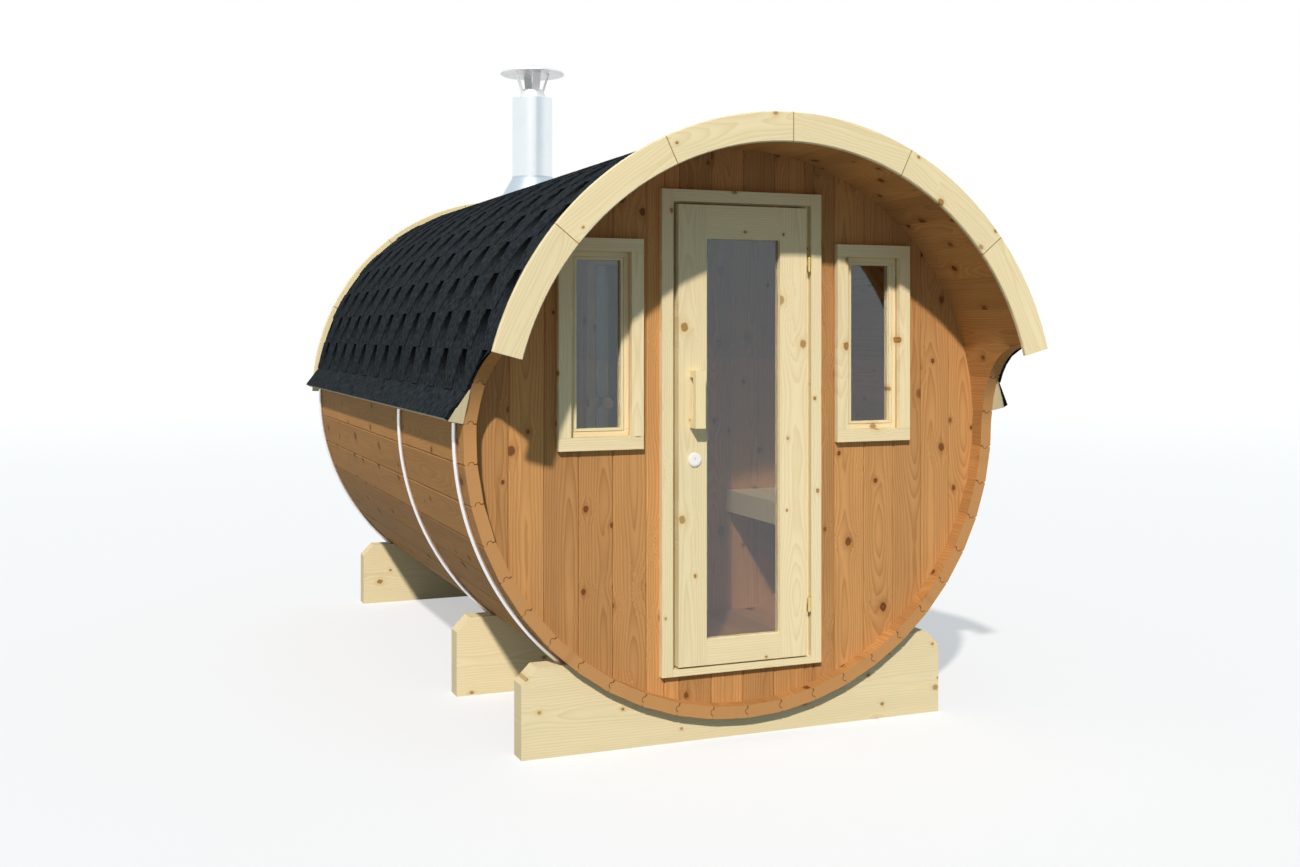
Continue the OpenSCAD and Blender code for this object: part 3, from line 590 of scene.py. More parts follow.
    def colour(self, ring: Value, fibre: Value, tone: Value, knots: tuple[Value, ...]) -> Value:
        """Colour of the board.

        Args:
            ring: late wood of the rings.
            fibre: the fibres.
            tone: how much lighter or darker the board is.
            knots: masks of the knots, their cores and their halos.

        Returns:
            The colour, with end grain and joints drawn over it.
        """
        t, given = self.t, self.group.given
        knot, core, halo = knots
        colour = t.mix(ring * given["Ring"], given["Early"], given["Late"])
        colour = t.mix(t.ease(fibre, *self.STREAK_EDGE) * self.STREAK, colour, given["Late"])
        light = tone * given["Tone"] + 1.0
        colour = t.mix(1.0, colour, t.join(light, light, light), "MULTIPLY")
        for mask, label in ((halo * self.HALO, "Halo"), (knot, "Knot"), (core, "Core")):
            colour = t.mix(mask, colour, given[label])
        log = t.hypot(self.across + self.LOG_OFF[0], self.depth + self.LOG_OFF[1])
        years = t.math("FRACT", log * self.YEARS_PER_M) ** self.YEAR_POWER
        sawn = t.mix(years * self.YEAR, given["Sawn"], given["Late"])
        colour = t.mix(t.ease(given["End"], *BoardLayout.END_EDGE) * self.SAWN, colour, sawn)
        return t.mix(given["Line"], colour, given["Knot"])


@dataclass(frozen=True)
class Wood:
    """A wood finish: colours of its early and late wood, end grain and knots, and how lively it is."""

    name: str
    early: Colour
    late: Colour
    sawn: Colour
    knot: Colour
    core: Colour
    halo: Colour
    tone: float
    ring: float
    knots: float
    knot_size: float
    rough: float = 0.62
    late_polish: float = 0.12
    gloss: float = 0.06
    relief: Pair = (0.28, 0.0012)

    def inputs(self) -> dict[str, object]:
        """The finish's own values for the figure of the boards, whose labels are the fields' names."""
        labels = PlankFigure.LIVELY + PlankFigure.COLOURS
        return {label: getattr(self, label.lower().replace(" ", "_")) for label in labels}


HEATED = Wood(
    "heat_treated_wood", early=(0.55, 0.295, 0.112), late=(0.335, 0.15, 0.047), sawn=(0.56, 0.305, 0.125),
    knot=(0.11, 0.036, 0.012), core=(0.205, 0.075, 0.024), halo=(0.335, 0.14, 0.044),
    tone=0.3, ring=0.75, knots=0.74, knot_size=0.012)
STAVE_WOOD = replace(
    HEATED, name="heat_treated_staves", early=(0.52, 0.268, 0.094), late=(0.32, 0.142, 0.042),
    halo=(0.31, 0.128, 0.038), ring=0.6, gloss=0.02)
SPRUCE = Wood(
    "pale_spruce", early=(0.83, 0.735, 0.475), late=(0.64, 0.5, 0.24), sawn=(0.79, 0.685, 0.425),
    knot=(0.25, 0.125, 0.03), core=(0.45, 0.24, 0.06), halo=(0.66, 0.47, 0.19),
    tone=0.09, ring=0.5, knots=0.68, knot_size=0.01)
HANDLE_WOOD = replace(
    SPRUCE, name="handle_spruce", early=(0.88, 0.78, 0.48), late=(0.74, 0.59, 0.29),
    ring=0.35, knots=0.0)


@dataclass(frozen=True)
class Split:
    """Where the stiles of a frame give way to its rails: a middle and half a width, in metres."""

    middle: float = 0.0
    half: float = 0.0


ALL_UPRIGHT = Split(-1.0, 0.0)


class WoodShop:
    """Makes and keeps the wood materials, one for each finish, grain and frame."""

    def __init__(self) -> None:
        """Makes the shared figure of the boards and the layouts."""
        self.figure = PlankFigure().group
        self.layouts = {grain: BoardLayout(grain).group for grain in Grain}
        self.made: dict[tuple, Material] = {}

    def material(self, wood: Wood, grain: Grain, split: Split = Split()) -> Material:
        """The material of a finish on boards that run a given way.

        Args:
            wood: the finish.
            grain: how the boards run.
            split: where stiles give way to rails, for a frame.

        Returns:
            A material, made once and shared.
        """
        key = (wood.name, grain, split)
        if key in self.made:
            return self.made[key]
        made, t = new_material(f"{wood.name}_{grain.value}_{len(self.made)}")
        coords = t.add("TexCoord").outputs
        board = self.layouts[grain].place(t, {"At": coords["Object"], "Facing": coords["Normal"],
                                              "Middle": split.middle, "Half": split.half})
        look = self.figure.place(t, {**board, **wood.inputs()})
        rough = t.blend(look["Ring"], wood.rough, wood.rough - wood.late_polish)
        t.surface(look["Color"], rough, look["Height"], wood.relief, {"Specular IOR Level": wood.gloss})
        self.made[key] = made
        return made


class MetalFigure:
    """Fine brushing round the upright and faint smudges of a metal, as one node group."""

    BRUSH_ALONG = 3.0
    BRUSH_UP = 700.0
    SMUDGES_PER_M = 9.0
    DETAIL = 3.0

    def __init__(self) -> None:
        """Builds the group once."""
        self.group = Group("metal_figure", {"At": Kind.VECTOR})
        t, at = self.group.t, self.group.given["At"]
        x, y, z = t.split(at)
        brush = t.join(x * self.BRUSH_ALONG, y * self.BRUSH_ALONG, z * self.BRUSH_UP)
        self.group.close({"Brush": t.noise(brush, 1.0, self.DETAIL),
                          "Smudge": t.noise(at, self.SMUDGES_PER_M, self.DETAIL)})


@dataclass(frozen=True)
class Metal:
    """A metal or lacquer finish with fine brushing and faint smudges."""

    name: str
    colour: Colour
    metallic: float
    rough: float
    brush: float
    brush_depth: float = 0.0004
    smudge_edge: Pair = (0.45, 0.75)
    smudge_dark: float = 0.96
    smudge_rough: float = 0.12

    def material(self, figure: Group) -> Material:
        """Builds the finish on the shared figure: smudges dull it and brushing raises fine lines.

        Args:
            figure: the brushing and smudges.

        Returns:
            The material.
        """
        made, t = new_material(self.name)
        marks = figure.place(t, {"At": t.add("TexCoord").outputs["Object"]})
        smudge = marks["Smudge"]
        dull = tuple(self.smudge_dark * part for part in self.colour)
        colour = t.mix(t.ease(smudge, *self.smudge_edge), self.colour, dull)
        rough = t.blend(smudge, self.rough, self.rough + self.smudge_rough)
        t.surface(colour, rough, marks["Brush"], (self.brush, self.brush_depth), {"Metallic": self.metallic})
        return made


STEEL = Metal("bright_steel", (0.96, 0.965, 0.965), 1.0, 0.16, 0.06)
FLASHING = Metal("flashing_steel", (0.62, 0.7, 0.76), 1.0, 0.34, 0.05)
CAP_STEEL = Metal("cap_steel", (0.93, 0.925, 0.92), 0.82, 0.4, 0.08)
HOOP_STEEL = Metal("hoop_steel", (0.9, 0.9, 0.91), 0.75, 0.32, 0.05)
BRASS = Metal("polished_brass", (0.86, 0.66, 0.26), 1.0, 0.22, 0.05)
WHITE = Metal("white_lacquer", (0.86, 0.86, 0.84), 0.0, 0.28, 0.02)


@dataclass(frozen=True)
class Glass:
    """Grey tinted glass that lets light through to the rooms."""

    name: str = "tinted_glass"
    tint: Colour = (0.58, 0.58, 0.58)
    sheen: Colour = (0.84, 0.9, 0.92)
    ior: float = 1.78
    shade: float = 0.75
    films_per_m: float = 5.0
    film_detail: float = 3.0
    film_edge: Pair = (0.35, 0.75)
    film_rough: float = 0.015

    def material(self) -> Material:
        """Builds the glass, with clear shadows so that the rooms behind it are lit.

        Returns:
            The material.
        """
        made, t = new_material(self.name)
        at = t.add("TexCoord").outputs["Object"]
        film = t.ease(t.noise(at, self.films_per_m, self.film_detail), *self.film_edge)
        pane = t.fed(t.add("BsdfPrincipled"), {
            "Base Color": self.tint, "Transmission Weight": 1.0, "IOR": self.ior,
            "Roughness": t.blend(film, 0.0, self.film_rough), "Specular Tint": self.sheen})
        clear = t.fed(t.add("BsdfTransparent"), {"Color": (self.shade, self.shade, self.shade)})
        both = t.add("MixShader")
        t.fed(both, {0: t.add("LightPath").outputs["Is Shadow Ray"], 1: pane, 2: clear})
        t.end(both)
        return made


@dataclass(frozen=True)
class Courses:
    """Layout of the shingle courses, shared by their shape and their finish."""

    first_deg: float = 7.85
    step_deg: float = 7.63
    pitch: float = 0.247
    slot_y: float = 0.414
    slot_half: float = 0.034
    lean_front: float = 0.06
    lean_rear: float = 0.02
    inner_r: float = 0.9884
    felt_t: float = 0.0036
    lap: float = 0.0008
    kick: float = 0.0048

    @property
    def floor_r(self) -> float:
        """Radius of the layer under the teeth, at a course's lower edge."""
        return self.inner_r + self.felt_t + self.lap


ROOF = Courses()


@dataclass(frozen=True)
class Felt:
    """Mineral felt of the shingles: dark granules, a tone for each tab, and painted shade in the slots and
    on the cut edges.
    """

    name: str = "shingle_felt"
    dark: Colour = (0.008, 0.01, 0.0115)
    pale: Colour = (0.0505, 0.06, 0.0665)
    blue: Colour = (0.048, 0.0585, 0.072)
    # Near black that the painted shade of the slots and the cut edges darkens towards.
    slot: Colour = (0.0012, 0.0014, 0.0017)
    lath: Colour = (0.8, 0.7, 0.48)
    # Strength of the painted shade at the upper edge of a slot.
    shadow: float = 0.94
    shadow_edge: Pair = (0.05, 0.95)
    shadow_lift: float = 0.0012
    granules_per_m: float = 330.0
    blotches_per_m: float = 14.0
    blotch_squeeze: float = 2.6
    blotch_noise: Pair = (4.0, 0.65)
    streaks: Pair = (105.0, 44.0)
    streak_noise: Pair = (2.0, 0.6)
    streak_edge: Pair = (0.4, 0.62)
    tints_per_m: float = 5.0
    tint_detail: float = 3.0
    tint_edge: Pair = (0.42, 0.62)
    tabs_a_course: float = 57.0
    spark_share: float = 0.32
    tone_share: float = 0.1
    blotch_share: float = 0.22
    streak_share: float = 0.66
    pale_share: float = 0.82
    edge_shade: float = 0.45
    edge_facing: float = 0.5
    lip_limit: float = -0.4
    relief: Pair = (0.55, 0.0015)
    rough: Pair = (0.95, 0.8)

    def painted_slot_shade(self, t: Tree, y: Value, radius: Value, angle: Value, course: Value) -> Value:
        """Painted shade on the floor of a slot, under the edge of the course above: full at its upper edge,
        fading towards its foot.

        Args:
            t: tree of the material.
            y: place along the roof.
            radius: distance from the barrel's axis.
            angle: number of courses above the first one's lower edge.
            course: whole part of the angle.

        Returns:
            A mask from 0 to 1 on the floor of the slots.
        """
        rise = angle - course
        below = 1.0 - rise
        odd = t.math("FLOORED_MODULO", course, 2.0)
        place = (y - (BARREL.front_y + ROOF.slot_y)) / ROOF.pitch + odd * 0.5
        aside = (place - t.math("ROUND", place)) * ROOF.pitch
        front = below * -ROOF.lean_front - ROOF.slot_half
        rear = below * ROOF.lean_rear + ROOF.slot_half
        inside = (aside > front) * (aside < rear)
        top = (course < 0.5) * ROOF.kick * below ** 2.0 + (ROOF.floor_r + self.shadow_lift)
        low = (radius < top) * (angle > 0.0)
        return inside * low * t.ease(rise, *self.shadow_edge)

    def material(self) -> Material:
        """Builds the felt: granules from fine cells, washed streaks down the slope and tones by tab.

        Returns:
            The material.
        """
        made, t = new_material(self.name)
        coords = t.add("TexCoord").outputs
        at = coords["Object"]
        nx, _, nz = t.split(coords["Normal"])
        x, y, z = t.split(at)
        lift = z - BARREL.axis_z
        turn = t.math("ARCTAN2", lift, abs(x))
        angle = (turn - math.radians(ROOF.first_deg)) / math.radians(ROOF.step_deg)
        course = t.math("FLOOR", angle)
        tone = t.chance(course * self.tabs_a_course + t.math("FLOOR", y / (ROOF.pitch / 2)))
        cells = t.add("TexVoronoi", feature="F1")
        away = t.fed(cells, {"Vector": at, "Scale": self.granules_per_m}, "Distance")
        spark, _, _ = t.split(cells.outputs["Color"])
        blotch = t.noise(t.join(x, y * self.blotch_squeeze, z), self.blotches_per_m, *self.blotch_noise)
        wash = t.join(y * self.streaks[0], turn * self.streaks[1], t.math("SIGN", x))
        streak = t.noise(wash, 1.0, *self.streak_noise)
        share = (spark * self.spark_share + tone * self.tone_share + blotch * self.blotch_share
                 + t.ease(streak, *self.streak_edge) * self.streak_share)
        tint = t.ease(t.noise(at, self.tints_per_m, self.tint_detail), *self.tint_edge)
        colour = t.mix(share * self.pale_share, self.dark, t.mix(tint, self.pale, self.blue))
        # Painted shade: the slot floors go nearly black at their upper edge, under the course above, and
        # fade downwards.
        shade = self.painted_slot_shade(t, y, t.hypot(x, lift), angle, course)
        colour = t.mix(shade * self.shadow, colour, self.slot)
        # Cut edges are darkened towards near black: partly the bare bitumen of a cut edge, partly painted
        # shade that keeps the sunlit edges no brighter than the tab tops.
        edge = nx * x + nz * lift < self.edge_facing
        colour = t.mix(edge * self.edge_shade, colour, self.slot)
        lip = (nz < self.lip_limit) * (angle < self.lip_limit)
        colour = t.mix(lip, colour, self.lath)
        t.surface(colour, t.blend(spark, *self.rough), 1.0 - away, self.relief, {"Specular IOR Level": 0.0})
        return made


def coat(node: str, material: Material) -> None:
    """Puts a material on every slot of a CAD node's object.

    Args:
        node: name of the node.
        material: its finish.
    """
    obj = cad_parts[node]
    if not obj.material_slots:
        obj.data.materials.append(material)
    for place in obj.material_slots:
        place.material = material


def piece(name: str, points: Array, quads: Array, material: Material) -> bpy.types.Object:
    """A mesh piece at the origin, its doubles merged and its empty faces dissolved.

    Args:
        name: name of the piece.
        points: n by 3 places in metres.
        quads: m by 4 indices, pointing outwards.
        material: its finish.

    Returns:
        The object, linked into the scene.
    """
    mesh = bpy.data.meshes.new(name)
    mesh.from_pydata(points.tolist(), [], quads.tolist())
    shape = bmesh.new()
    shape.from_mesh(mesh)
    bmesh.ops.remove_doubles(shape, verts=shape.verts, dist=MERGE_M)
    bmesh.ops.dissolve_degenerate(shape, edges=shape.edges, dist=MERGE_M)
    bmesh.ops.recalc_face_normals(shape, faces=shape.faces)
    shape.to_mesh(mesh)
    shape.free()
    mesh.materials.append(material)
    obj = bpy.data.objects.new(name, mesh)
    bpy.context.scene.collection.objects.link(obj)
    LOG.info("piece %s: %d faces", name, len(mesh.polygons))
    return obj


def slab_quads(rows: int, columns: int, copies: int = 1) -> Array:
    """Faces of closed slabs, each with its upper grid first and its lower grid after it.

    Args:
        rows: points of the grid along its first side.
        columns: points along its second side.
        copies: number of slabs, one after another.

    Returns:
        Quads of the upper face, the lower face and the four edges of every slab.
    """
    size = rows * columns
    index = np.arange(size).reshape(rows, columns)
    low = index + size
    top = np.stack([index[:-1, :-1], index[1:, :-1], index[1:, 1:], index[:-1, 1:]], -1).reshape(-1, 4)
    under = np.stack([low[:-1, :-1], low[:-1, 1:], low[1:, 1:], low[1:, :-1]], -1).reshape(-1, 4)
    loop = np.concatenate([index[0, :-1], index[:-1, -1], index[-1, :0:-1], index[:0:-1, 0]])
    follow = np.roll(loop, -1)
    rim = np.stack([loop, follow, follow + size, loop + size], -1)
    start = 2 * size * np.arange(copies)[:, None, None]
    return (np.concatenate([top, under, rim])[None] + start).reshape(-1, 4)


@dataclass
class Shingles:
    """Courses of toothed felt shingles over both sides of the roof, with ridge caps, in metres."""

    tab_t: float = 0.0042
    tab_bed: float = 0.0004
    tab_least: float = 0.012
    courses: int = 10
    course_points: int = 5
    eave_corner: Pair = (1.037, 0.044)
    eave_tip: Pair = (1.0515, 0.0525)
    scallop_y: float = 0.024
    scallop_z: float = -0.029
    scallop_r: float = 0.306
    arch_gap: float = 0.0004
    cap_l: float = 0.25
    cap_step: float = 0.145
    cap_deg: float = 8.0
    cap_gap: float = 0.0002

    def front(self, z: Array) -> Array:
        """Front edge of the felt: the scallop's circle, or the back of the arch above it.

        Args:
            z: heights above the axis.

        Returns:
            Places along the roof.
        """
        drop = np.clip(self.scallop_r ** 2 - (z - self.scallop_z) ** 2, 0.0, None)
        curve = np.where(z < self.scallop_z + self.scallop_r, self.scallop_y + np.sqrt(drop), 0.0)
        return BARREL.front_y + np.maximum(curve, BARREL.arch_t + self.arch_gap)

    def lay(self, angle: Array, radius: Array, y: Array, side: int) -> Array:
        """Points of the roof: radius times cosine and sine of the angle, trimmed at both ends.

        Args:
            angle: angles above the horizontal.
            radius: distances from the axis.
            y: places along the roof.
            side: 1 on the right, -1 on the left.

        Returns:
            Places in metres.
        """
        z = radius * np.sin(angle)
        along = np.clip(y, self.front(z), BARREL.rear_y - self.arch_gap)
        return np.stack([side * radius * np.cos(angle), along, z + BARREL.axis_z], -1)

    def base(self, side: int) -> Shape:
        """Under-layer of one side: a profile of lapped steps carried along the roof.

        The radius falls by one lap from each course's lower edge to its upper one, and the first
        course also rises by a kick, as the square of the distance from its upper edge.
        The eave is a straight band from the drip edge up to the first course.

        Args:
            side: 1 on the right, -1 on the left.

        Returns:
            Points and quads.
        """
        lows = np.radians(ROOF.first_deg + ROOF.step_deg * np.arange(self.courses + 1))
        share = np.linspace(0.0, 1.0, self.course_points)
        angles = (lows[:-1, None] + share[None, :] * np.diff(lows)[:, None]).ravel()
        angles = np.minimum(angles, math.pi / 2)
        radii = np.tile(ROOF.floor_r - ROOF.lap * share, self.courses)
        radii[:len(share)] += ROOF.kick * (1.0 - share) ** 2
        outer = np.stack([radii * np.cos(angles), radii * np.sin(angles)], -1)
        inner = np.stack([ROOF.inner_r * np.cos(angles), ROOF.inner_r * np.sin(angles)], -1)
        outer = np.concatenate([[self.eave_corner, self.eave_tip], outer])
        inner = np.concatenate([[self.eave_corner, self.eave_corner], inner])
        grid = []
        for line in (outer, inner):
            near = self.front(line[:, 1])
            far = np.full_like(near, BARREL.rear_y - self.arch_gap)
            z = line[:, 1] + BARREL.axis_z
            grid.append(np.stack([np.stack([side * line[:, 0], y, z], -1) for y in (near, far)], 1))
        return np.concatenate(grid).reshape(-1, 3), slab_quads(len(outer), 2)

    def tabs(self, side: int) -> Shape:
        """Teeth of all courses on one side.

        Each tooth is a slab from the rear edge of one slot to the front edge of the next, above the
        layer below. Its edges lean inwards to its foot, the rear one more than the front one.
        Every other course is shifted by half a pitch.

        Args:
            side: 1 on the right, -1 on the left.

        Returns:
            Points and quads.
        """
        rows, columns = 5, 4
        up = np.linspace(0.0, 1.0, rows)[:, None]
        over = np.linspace(0.0, 1.0, columns)[None, :]
        count = int((BARREL.rear_y - BARREL.front_y) / ROOF.pitch) + 3
        course, number = (part.ravel() for part in np.mgrid[0:self.courses, 0:count])
        slot = (BARREL.front_y + ROOF.slot_y + ROOF.pitch * (number - 2.0)
                - 0.5 * ROOF.pitch * (course % 2))[:, None, None]
        low = np.radians(ROOF.first_deg + ROOF.step_deg * course)[:, None, None]
        angle = np.minimum(low + np.radians(ROOF.step_deg) * up, math.pi / 2) + 0.0 * over
        near = slot + ROOF.slot_half + ROOF.lean_rear * (1.0 - up)
        far = slot + ROOF.pitch - ROOF.slot_half - ROOF.lean_front * (1.0 - up)
        y = near + (far - near) * over
        kick = np.where(course == 0, ROOF.kick, 0.0)[:, None, None]
        seat = ROOF.floor_r - ROOF.lap * up + kick * (1.0 - up) ** 2 + 0.0 * over
        slabs = [self.lay(angle, np.broadcast_to(seat + lift, angle.shape), y, side)
                 for lift in (self.tab_t, -self.tab_bed)]
        points = np.stack(slabs, 1)
        points = points[np.ptp(points[:, 0, :, :, 1], axis=(1, 2)) > self.tab_least]
        return points.reshape(-1, 3), slab_quads(rows, columns, len(points))

    def caps(self) -> Shape:
        """Ridge caps: bent slabs over the ridge, each lying on the one behind it.

        Returns:
            Points and quads.
        """
        rows, columns = 2, 9
        count = int((BARREL.rear_y - BARREL.front_y) / self.cap_step) + 1
        start = BARREL.front_y + BARREL.arch_t + self.cap_step * np.arange(count)[:, None, None]
        along = np.linspace(0.0, 1.0, rows)[None, :, None]
        angle = math.pi / 2 + np.radians(self.cap_deg) * np.linspace(1.0, -1.0, columns)[None, None, :]
        y = start + self.cap_l * along + 0.0 * angle
        angle = angle + 0.0 * y
        seat = ROOF.floor_r + self.tab_t + self.cap_gap + ROOF.felt_t * (1.0 - along) + 0.0 * y
        slabs = [self.lay(angle, seat + lift, y, 1) for lift in (ROOF.felt_t, 0.0)]
        return np.stack(slabs, 1).reshape(-1, 3), slab_quads(rows, columns, count)

    def build(self, felt: Material) -> None:
        """Lays both sides and the ridge, in place of the plain roof skins.

        Args:
            felt: the finish.
        """
        for name, side in SIDES:
            base, base_quads = self.base(side)
            teeth, teeth_quads = self.tabs(side)
            made = piece(f"shingle_courses_{name}", np.concatenate([base, teeth]),
                         np.concatenate([base_quads, teeth_quads + len(base)]), felt)
            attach(made, SHELL)
            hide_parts(f"shingles_{name}")
        caps = piece("ridge_caps", *self.caps(), felt)
        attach(caps, SHELL)


@dataclass
class EaveNoses:
    """Front ends of the eave battens, cut along the scallop under the edge of the felt, in metres.

    Corners are pairs of distance from the middle and height above the axis.
    """

    corners: tuple[Pair, ...] = ((0.9763, 0.1465), (0.9773, 0.1466), (0.9877, 0.033), (1.037, 0.043))
    end_y: float = -1.3195
    setback: float = 0.0006

    def build(self, wood: Material) -> None:
        """Carries each batten's end face forward to the scallop's circle at every corner's height.

        Args:
            wood: the finish.
        """
        across, height = np.array(self.corners).T
        near = Shingles().front(height) + self.setback
        far = np.full_like(near, self.end_y)
        for name, side in SIDES:
            ends = [np.stack([side * across, y, height + BARREL.axis_z], -1) for y in (near, far)]
            made = piece(f"eave_nose_{name}", np.concatenate(ends), slab_quads(2, 2), wood)
            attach(made, SHELL)


@dataclass
class Barrels:
    """Staves, walls and floor of heat-treated boards."""

    staves: Names = ("floor", "lower_right", "lower_left", "side_right", "side_left",
                     "upper_right", "upper_left", "ridge")
    walls: Names = ("front_wall_left", "front_wall_right", "front_wall_middle", "rear_wall",
                    "partition_left", "partition_right", "partition_head")

    def dress(self, shop: WoodShop) -> None:
        """Puts the wood on the barrel's own nodes.

        Args:
            shop: maker of the wood materials.
        """
        for name in self.staves:
            coat(f"staves_{name}", shop.material(STAVE_WOOD, Grain.STAVES))
        for name in self.walls:
            coat(name, shop.material(HEATED, Grain.WALL))
        coat("floor_boards", shop.material(HEATED, Grain.ALONG_Y))
        LOG.info("barrel dressed")


@dataclass
class Joinery:
    """Pale spruce pieces: cradles, arches, battens, bench, door and windows.

    The pieces of a frame come with the width of its boards, in metres.
    """

    planks: Names = ("eave_batten_left", "eave_batten_right", "bench_top", "bench_front")
    window_frames: tuple[tuple[str, float], ...] = (("casing", 0.043), ("sash", 0.027))
    door_frames: tuple[tuple[str, float], ...] = (
        ("door_casing", 0.04), ("door_leaf", 0.103), ("door_jamb", 0.055), ("inner_door_frame", 0.05))
    pulls: Names = ("door_handle", "inner_door_knob")

    def split(self, node: str, board: float, axis: int) -> Split:
        """Split of a frame across one axis by the width of its boards, from the node's box."""
        low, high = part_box(node)
        return Split((low[axis] + high[axis]) / 2, (high[axis] - low[axis]) / 2 - board)

    def dress(self, shop: WoodShop) -> None:
        """Puts spruce on every pale piece, with its grain along each board.

        Args:
            shop: maker of the wood materials.
        """
        for name in ("front", "middle", "rear"):
            coat(f"cradle_{name}", shop.material(SPRUCE, Grain.ALONG_X))
        for name in ("front_arch", "rear_arch"):
            coat(name, shop.material(SPRUCE, Grain.ARCH))
        for name in self.planks:
            coat(name, shop.material(SPRUCE, Grain.ALONG_Y))
        for side in ("left", "right"):
            for part, board in self.window_frames:
                node = f"window_{side}_{part}"
                coat(node, shop.material(SPRUCE, Grain.RAILS, self.split(node, board, axis=2)))
        for node, board in self.door_frames:
            coat(node, shop.material(SPRUCE, Grain.STILES, self.split(node, board, axis=0)))
        for node in self.pulls:
            coat(node, shop.material(HANDLE_WOOD, Grain.STILES, ALL_UPRIGHT))
        LOG.info("joinery dressed")


@dataclass
class Fittings:
    """Glass, brass, steel and lacquer pieces."""

    panes: Names = ("window_left_glass", "window_right_glass", "door_glass", "inner_door_glass")
    brass: Names = ("hinge_pins", "hinge_knuckles")
    steel: Names = ("chimney_pipe", "inner_hinge_pins", "inner_hinge_clamps")

    def dress(self, figure: Group) -> None:
        """Puts each finish on its nodes.

        Args:
            figure: brushing and smudges of the metals.
        """
        glass = Glass().material()
        for node in self.panes:
            coat(node, glass)
        for nodes, metal in ((self.steel, STEEL), (self.brass, BRASS), (("hoops",), HOOP_STEEL),
                             (("chimney_flashing",), FLASHING), (("door_lock",), WHITE)):
            finish = metal.material(figure)
            for node in nodes:
                coat(node, finish)
        LOG.info("fittings dressed")


@dataclass
class RainCap:
    """Plate with a rolled rim, held by four strips over the tapered neck of the chimney, in metres.

    Profiles are pairs of radius and height above the top of the pipe.
    """

    neck: tuple[Pair, ...] = (
        (0.1, 0.0), (0.1, 0.002), (0.0685, 0.002), (0.0545, 0.046), (0.0525, 0.046), (0.0665, 0.0))
    plate: tuple[Pair, ...] = (
        (0.0, 0.131), (0.12, 0.126), (0.154, 0.1226), (0.158, 0.1232), (0.16, 0.1265),
        (0.1592, 0.13), (0.1555, 0.1345), (0.148, 0.1385), (0.1, 0.152), (0.05, 0.1635),
        (0.02, 0.168), (0.0, 0.169))
    strip_foot: Pair = (0.0535, 0.038)
    strip_head: Pair = (0.083, 0.128)
    strip_w: float = 0.04
    strip_t: float = 0.002
    strips_n: int = 4
    turns: int = 128

    def turned(self, profile: tuple[Pair, ...]) -> Shape:
        """A closed profile turned round the upright: radius times cosine and sine, height unchanged.

        Args:
            profile: pairs of radius and height.

        Returns:
            Points and quads.
        """
        radius, height = np.array(profile).T[:, :, None]
        angle = 2.0 * math.pi * np.arange(self.turns) / self.turns
        points = np.stack([radius * np.cos(angle), radius * np.sin(angle), height + 0.0 * angle], -1)
        index = np.arange(points.size // 3).reshape(len(profile), self.turns)
        over, on = np.roll(index, -1, 1), np.roll(index, -1, 0)
        quads = np.stack([index, over, np.roll(on, -1, 1), on], -1)
        return points.reshape(-1, 3), quads.reshape(-1, 4)

    def strips(self) -> Shape:
        """Flat strips leaning outwards, each a slab from foot to head across the strip's width.

        Returns:
            Points and quads.
        """
        line = np.array([self.strip_foot, self.strip_head])
        way = (line[1] - line[0]) / np.linalg.norm(line[1] - line[0])
        off = np.array([way[1], -way[0]]) * self.strip_t / 2
        faces = np.stack([line + off, line - off])[None, :, :, None, :]
        across = self.strip_w * np.array([-0.5, 0.5])[None, None, None, :]
        angle = (2.0 * math.pi * np.arange(self.strips_n) / self.strips_n)[:, None, None, None]
        radius, height = faces[..., 0], faces[..., 1]
        points = np.stack([radius * np.cos(angle) - across * np.sin(angle),
                           radius * np.sin(angle) + across * np.cos(angle),
                           height + 0.0 * across + 0.0 * angle], -1)
        return points.reshape(-1, 3), slab_quads(2, 2, self.strips_n)

    def build(self, steel: Material) -> None:
        """Sets the cap on the pipe, in place of the plain one.

        Args:
            steel: the finish.
        """
        low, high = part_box("chimney_pipe")
        seat = np.array([(low.x + high.x) / 2, (low.y + high.y) / 2, high.z])
        points, quads = [], []
        for part, faces in (self.turned(self.neck), self.turned(self.plate), self.strips()):
            quads.append(faces + sum(len(done) for done in points))
            points.append(part + seat)
        made = piece("chimney_cap", np.concatenate(points), np.concatenate(quads), steel)
        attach(made, SHELL)
        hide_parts("rain_cap")


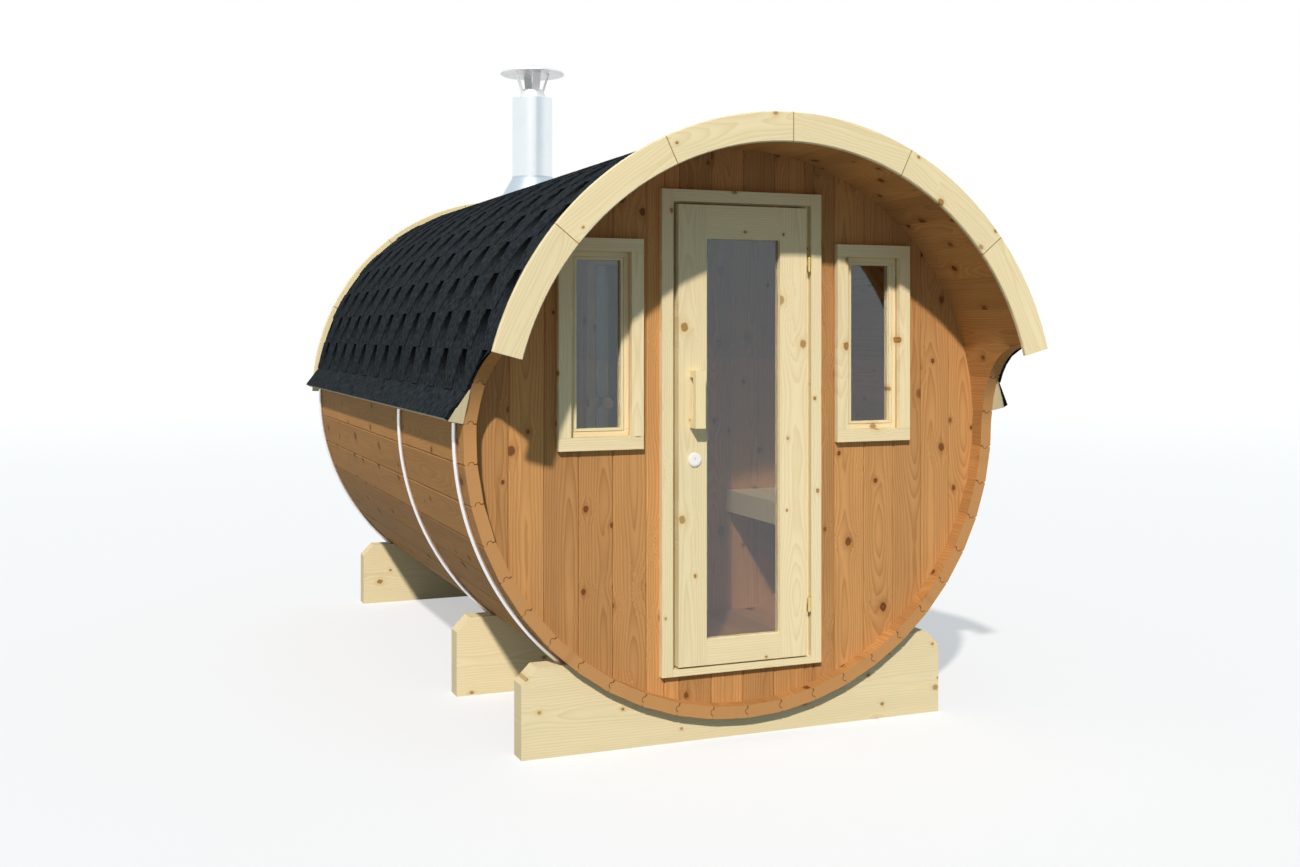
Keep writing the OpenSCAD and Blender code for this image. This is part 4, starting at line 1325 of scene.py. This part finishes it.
@dataclass
class Studio:
    """Pale floor, a soft key light from the front left, even fill and the camera."""

    eye: Point = (-2.0639, -5.5512, 1.3771)
    yaw_deg: float = -21.964
    lens_mm: float = 38.384
    sensor_mm: float = 36.0
    rise_shift: float = -0.0786
    sight: float = 200.0
    light_way: Point = (0.384, 0.672, -0.633)
    key: float = 3.65
    key_colour: Colour = (1.0, 0.9, 0.825)
    softness_deg: float = 2.0
    white: Colour = (1.0, 1.0, 1.0)
    fill: Colour = (0.232, 0.312, 0.35)
    gloss: Colour = (0.86, 0.92, 0.95)
    gloss_side: Colour = (0.49, 0.6, 0.67)
    side_start: Pair = (0.04, 0.16)
    side_end: Pair = (1.25, 0.2)
    side_foot: Pair = (0.08, 0.098)
    floor_half: float = 60.0
    floor_colour: Colour = (0.44, 0.46, 0.48)
    floor_bounce: Colour = (0.2, 0.23, 0.25)
    floor_glow: float = 0.5
    far_glow: float = 0.6
    far_edge: Pair = (4.0, 26.0)

    def build(self) -> None:
        """Makes the floor, the lights, the world and the camera."""
        scene = bpy.context.scene
        scene.view_settings.view_transform = "Standard"
        self.floor()
        sun = bpy.data.objects.new("key_light", bpy.data.lights.new("key_light", "SUN"))
        sun.data.energy = self.key
        sun.data.angle = math.radians(self.softness_deg)
        sun.data.color = self.key_colour
        flat = math.hypot(self.light_way[0], self.light_way[1])
        sun.rotation_euler = (math.atan2(flat, -self.light_way[2]), 0.0,
                              math.atan2(self.light_way[1], self.light_way[0]) - math.pi / 2)
        scene.collection.objects.link(sun)
        self.world(scene)
        camera = bpy.data.objects.new("camera", bpy.data.cameras.new("camera"))
        camera.location = self.eye
        camera.rotation_euler = (math.pi / 2, 0.0, math.radians(self.yaw_deg))
        camera.data.lens = self.lens_mm
        camera.data.sensor_width = self.sensor_mm
        camera.data.shift_y = self.rise_shift
        camera.data.clip_end = self.sight
        scene.collection.objects.link(camera)
        scene.camera = camera
        LOG.info("studio ready")

    def floor(self) -> None:
        """A wide pale floor that glows a little to the eye, more far off, and throws less light back."""
        half = self.floor_half
        mesh = bpy.data.meshes.new("studio_floor")
        corners = ((-half, -half), (half, -half), (half, half), (-half, half))
        mesh.from_pydata([(*corner, 0.0) for corner in corners], [], [(0, 1, 2, 3)])
        made, t = new_material("studio_floor")
        path = t.add("LightPath").outputs
        seen = t.math("SUBTRACT", 1.0, path["Is Diffuse Ray"])
        x, y, _ = t.split(t.add("TexCoord").outputs["Object"])
        far = t.ease(t.hypot(x, y), *self.far_edge) * path["Is Camera Ray"]
        glowing = seen * t.blend(far, self.floor_glow, self.far_glow)
        lit = t.fed(t.add("BsdfDiffuse"), {"Color": t.mix(seen, self.floor_bounce, self.floor_colour)})
        both = t.add("AddShader")
        t.fed(both, {0: lit, 1: t.fed(t.add("Emission"), {"Strength": glowing})})
        t.end(both)
        mesh.materials.append(made)
        obj = bpy.data.objects.new("studio_floor", mesh)
        bpy.context.scene.collection.objects.link(obj)

    def world(self, scene: bpy.types.Scene) -> None:
        """A soft world: white to the eye, pale to gloss and glass, and a cool fill to the rest.

        To gloss, it has a greyer upper side from the front round to the right, which fades back to pale.

        Args:
            scene: the scene that takes it.
        """
        scene.world = bpy.data.worlds.new("studio_world")
        scene.world.use_nodes = True
        t = Tree(scene.world.node_tree)
        path = t.add("LightPath").outputs
        x, y, z = t.split(t.add("TexCoord").outputs["Object"])
        bearing = t.math("ARCTAN2", x, y * -1.0)
        side = t.ease(bearing, *self.side_start) * t.ease(bearing, *self.side_end)
        side = side * t.ease(z, *self.side_foot)
        colour = t.mix(path["Is Transmission Ray"], self.fill, self.gloss)
        colour = t.mix(path["Is Glossy Ray"], colour, t.mix(side, self.gloss, self.gloss_side))
        back = t.add("Background")
        t.fed(back, {"Color": t.mix(path["Is Camera Ray"], colour, self.white)})
        t.end(back, "OutputWorld")


def main() -> None:
    """Builds the studio, dresses the frame and lays the roof."""
    logging.basicConfig(level=logging.INFO, format="%(message)s")
    Studio().build()
    shop = WoodShop()
    Barrels().dress(shop)
    Joinery().dress(shop)
    EaveNoses().build(shop.material(SPRUCE, Grain.ALONG_Y))
    figure = MetalFigure().group
    Fittings().dress(figure)
    RainCap().build(CAP_STEEL.material(figure))
    Shingles().build(Felt().material())


if __name__ == "__main__":
    main()
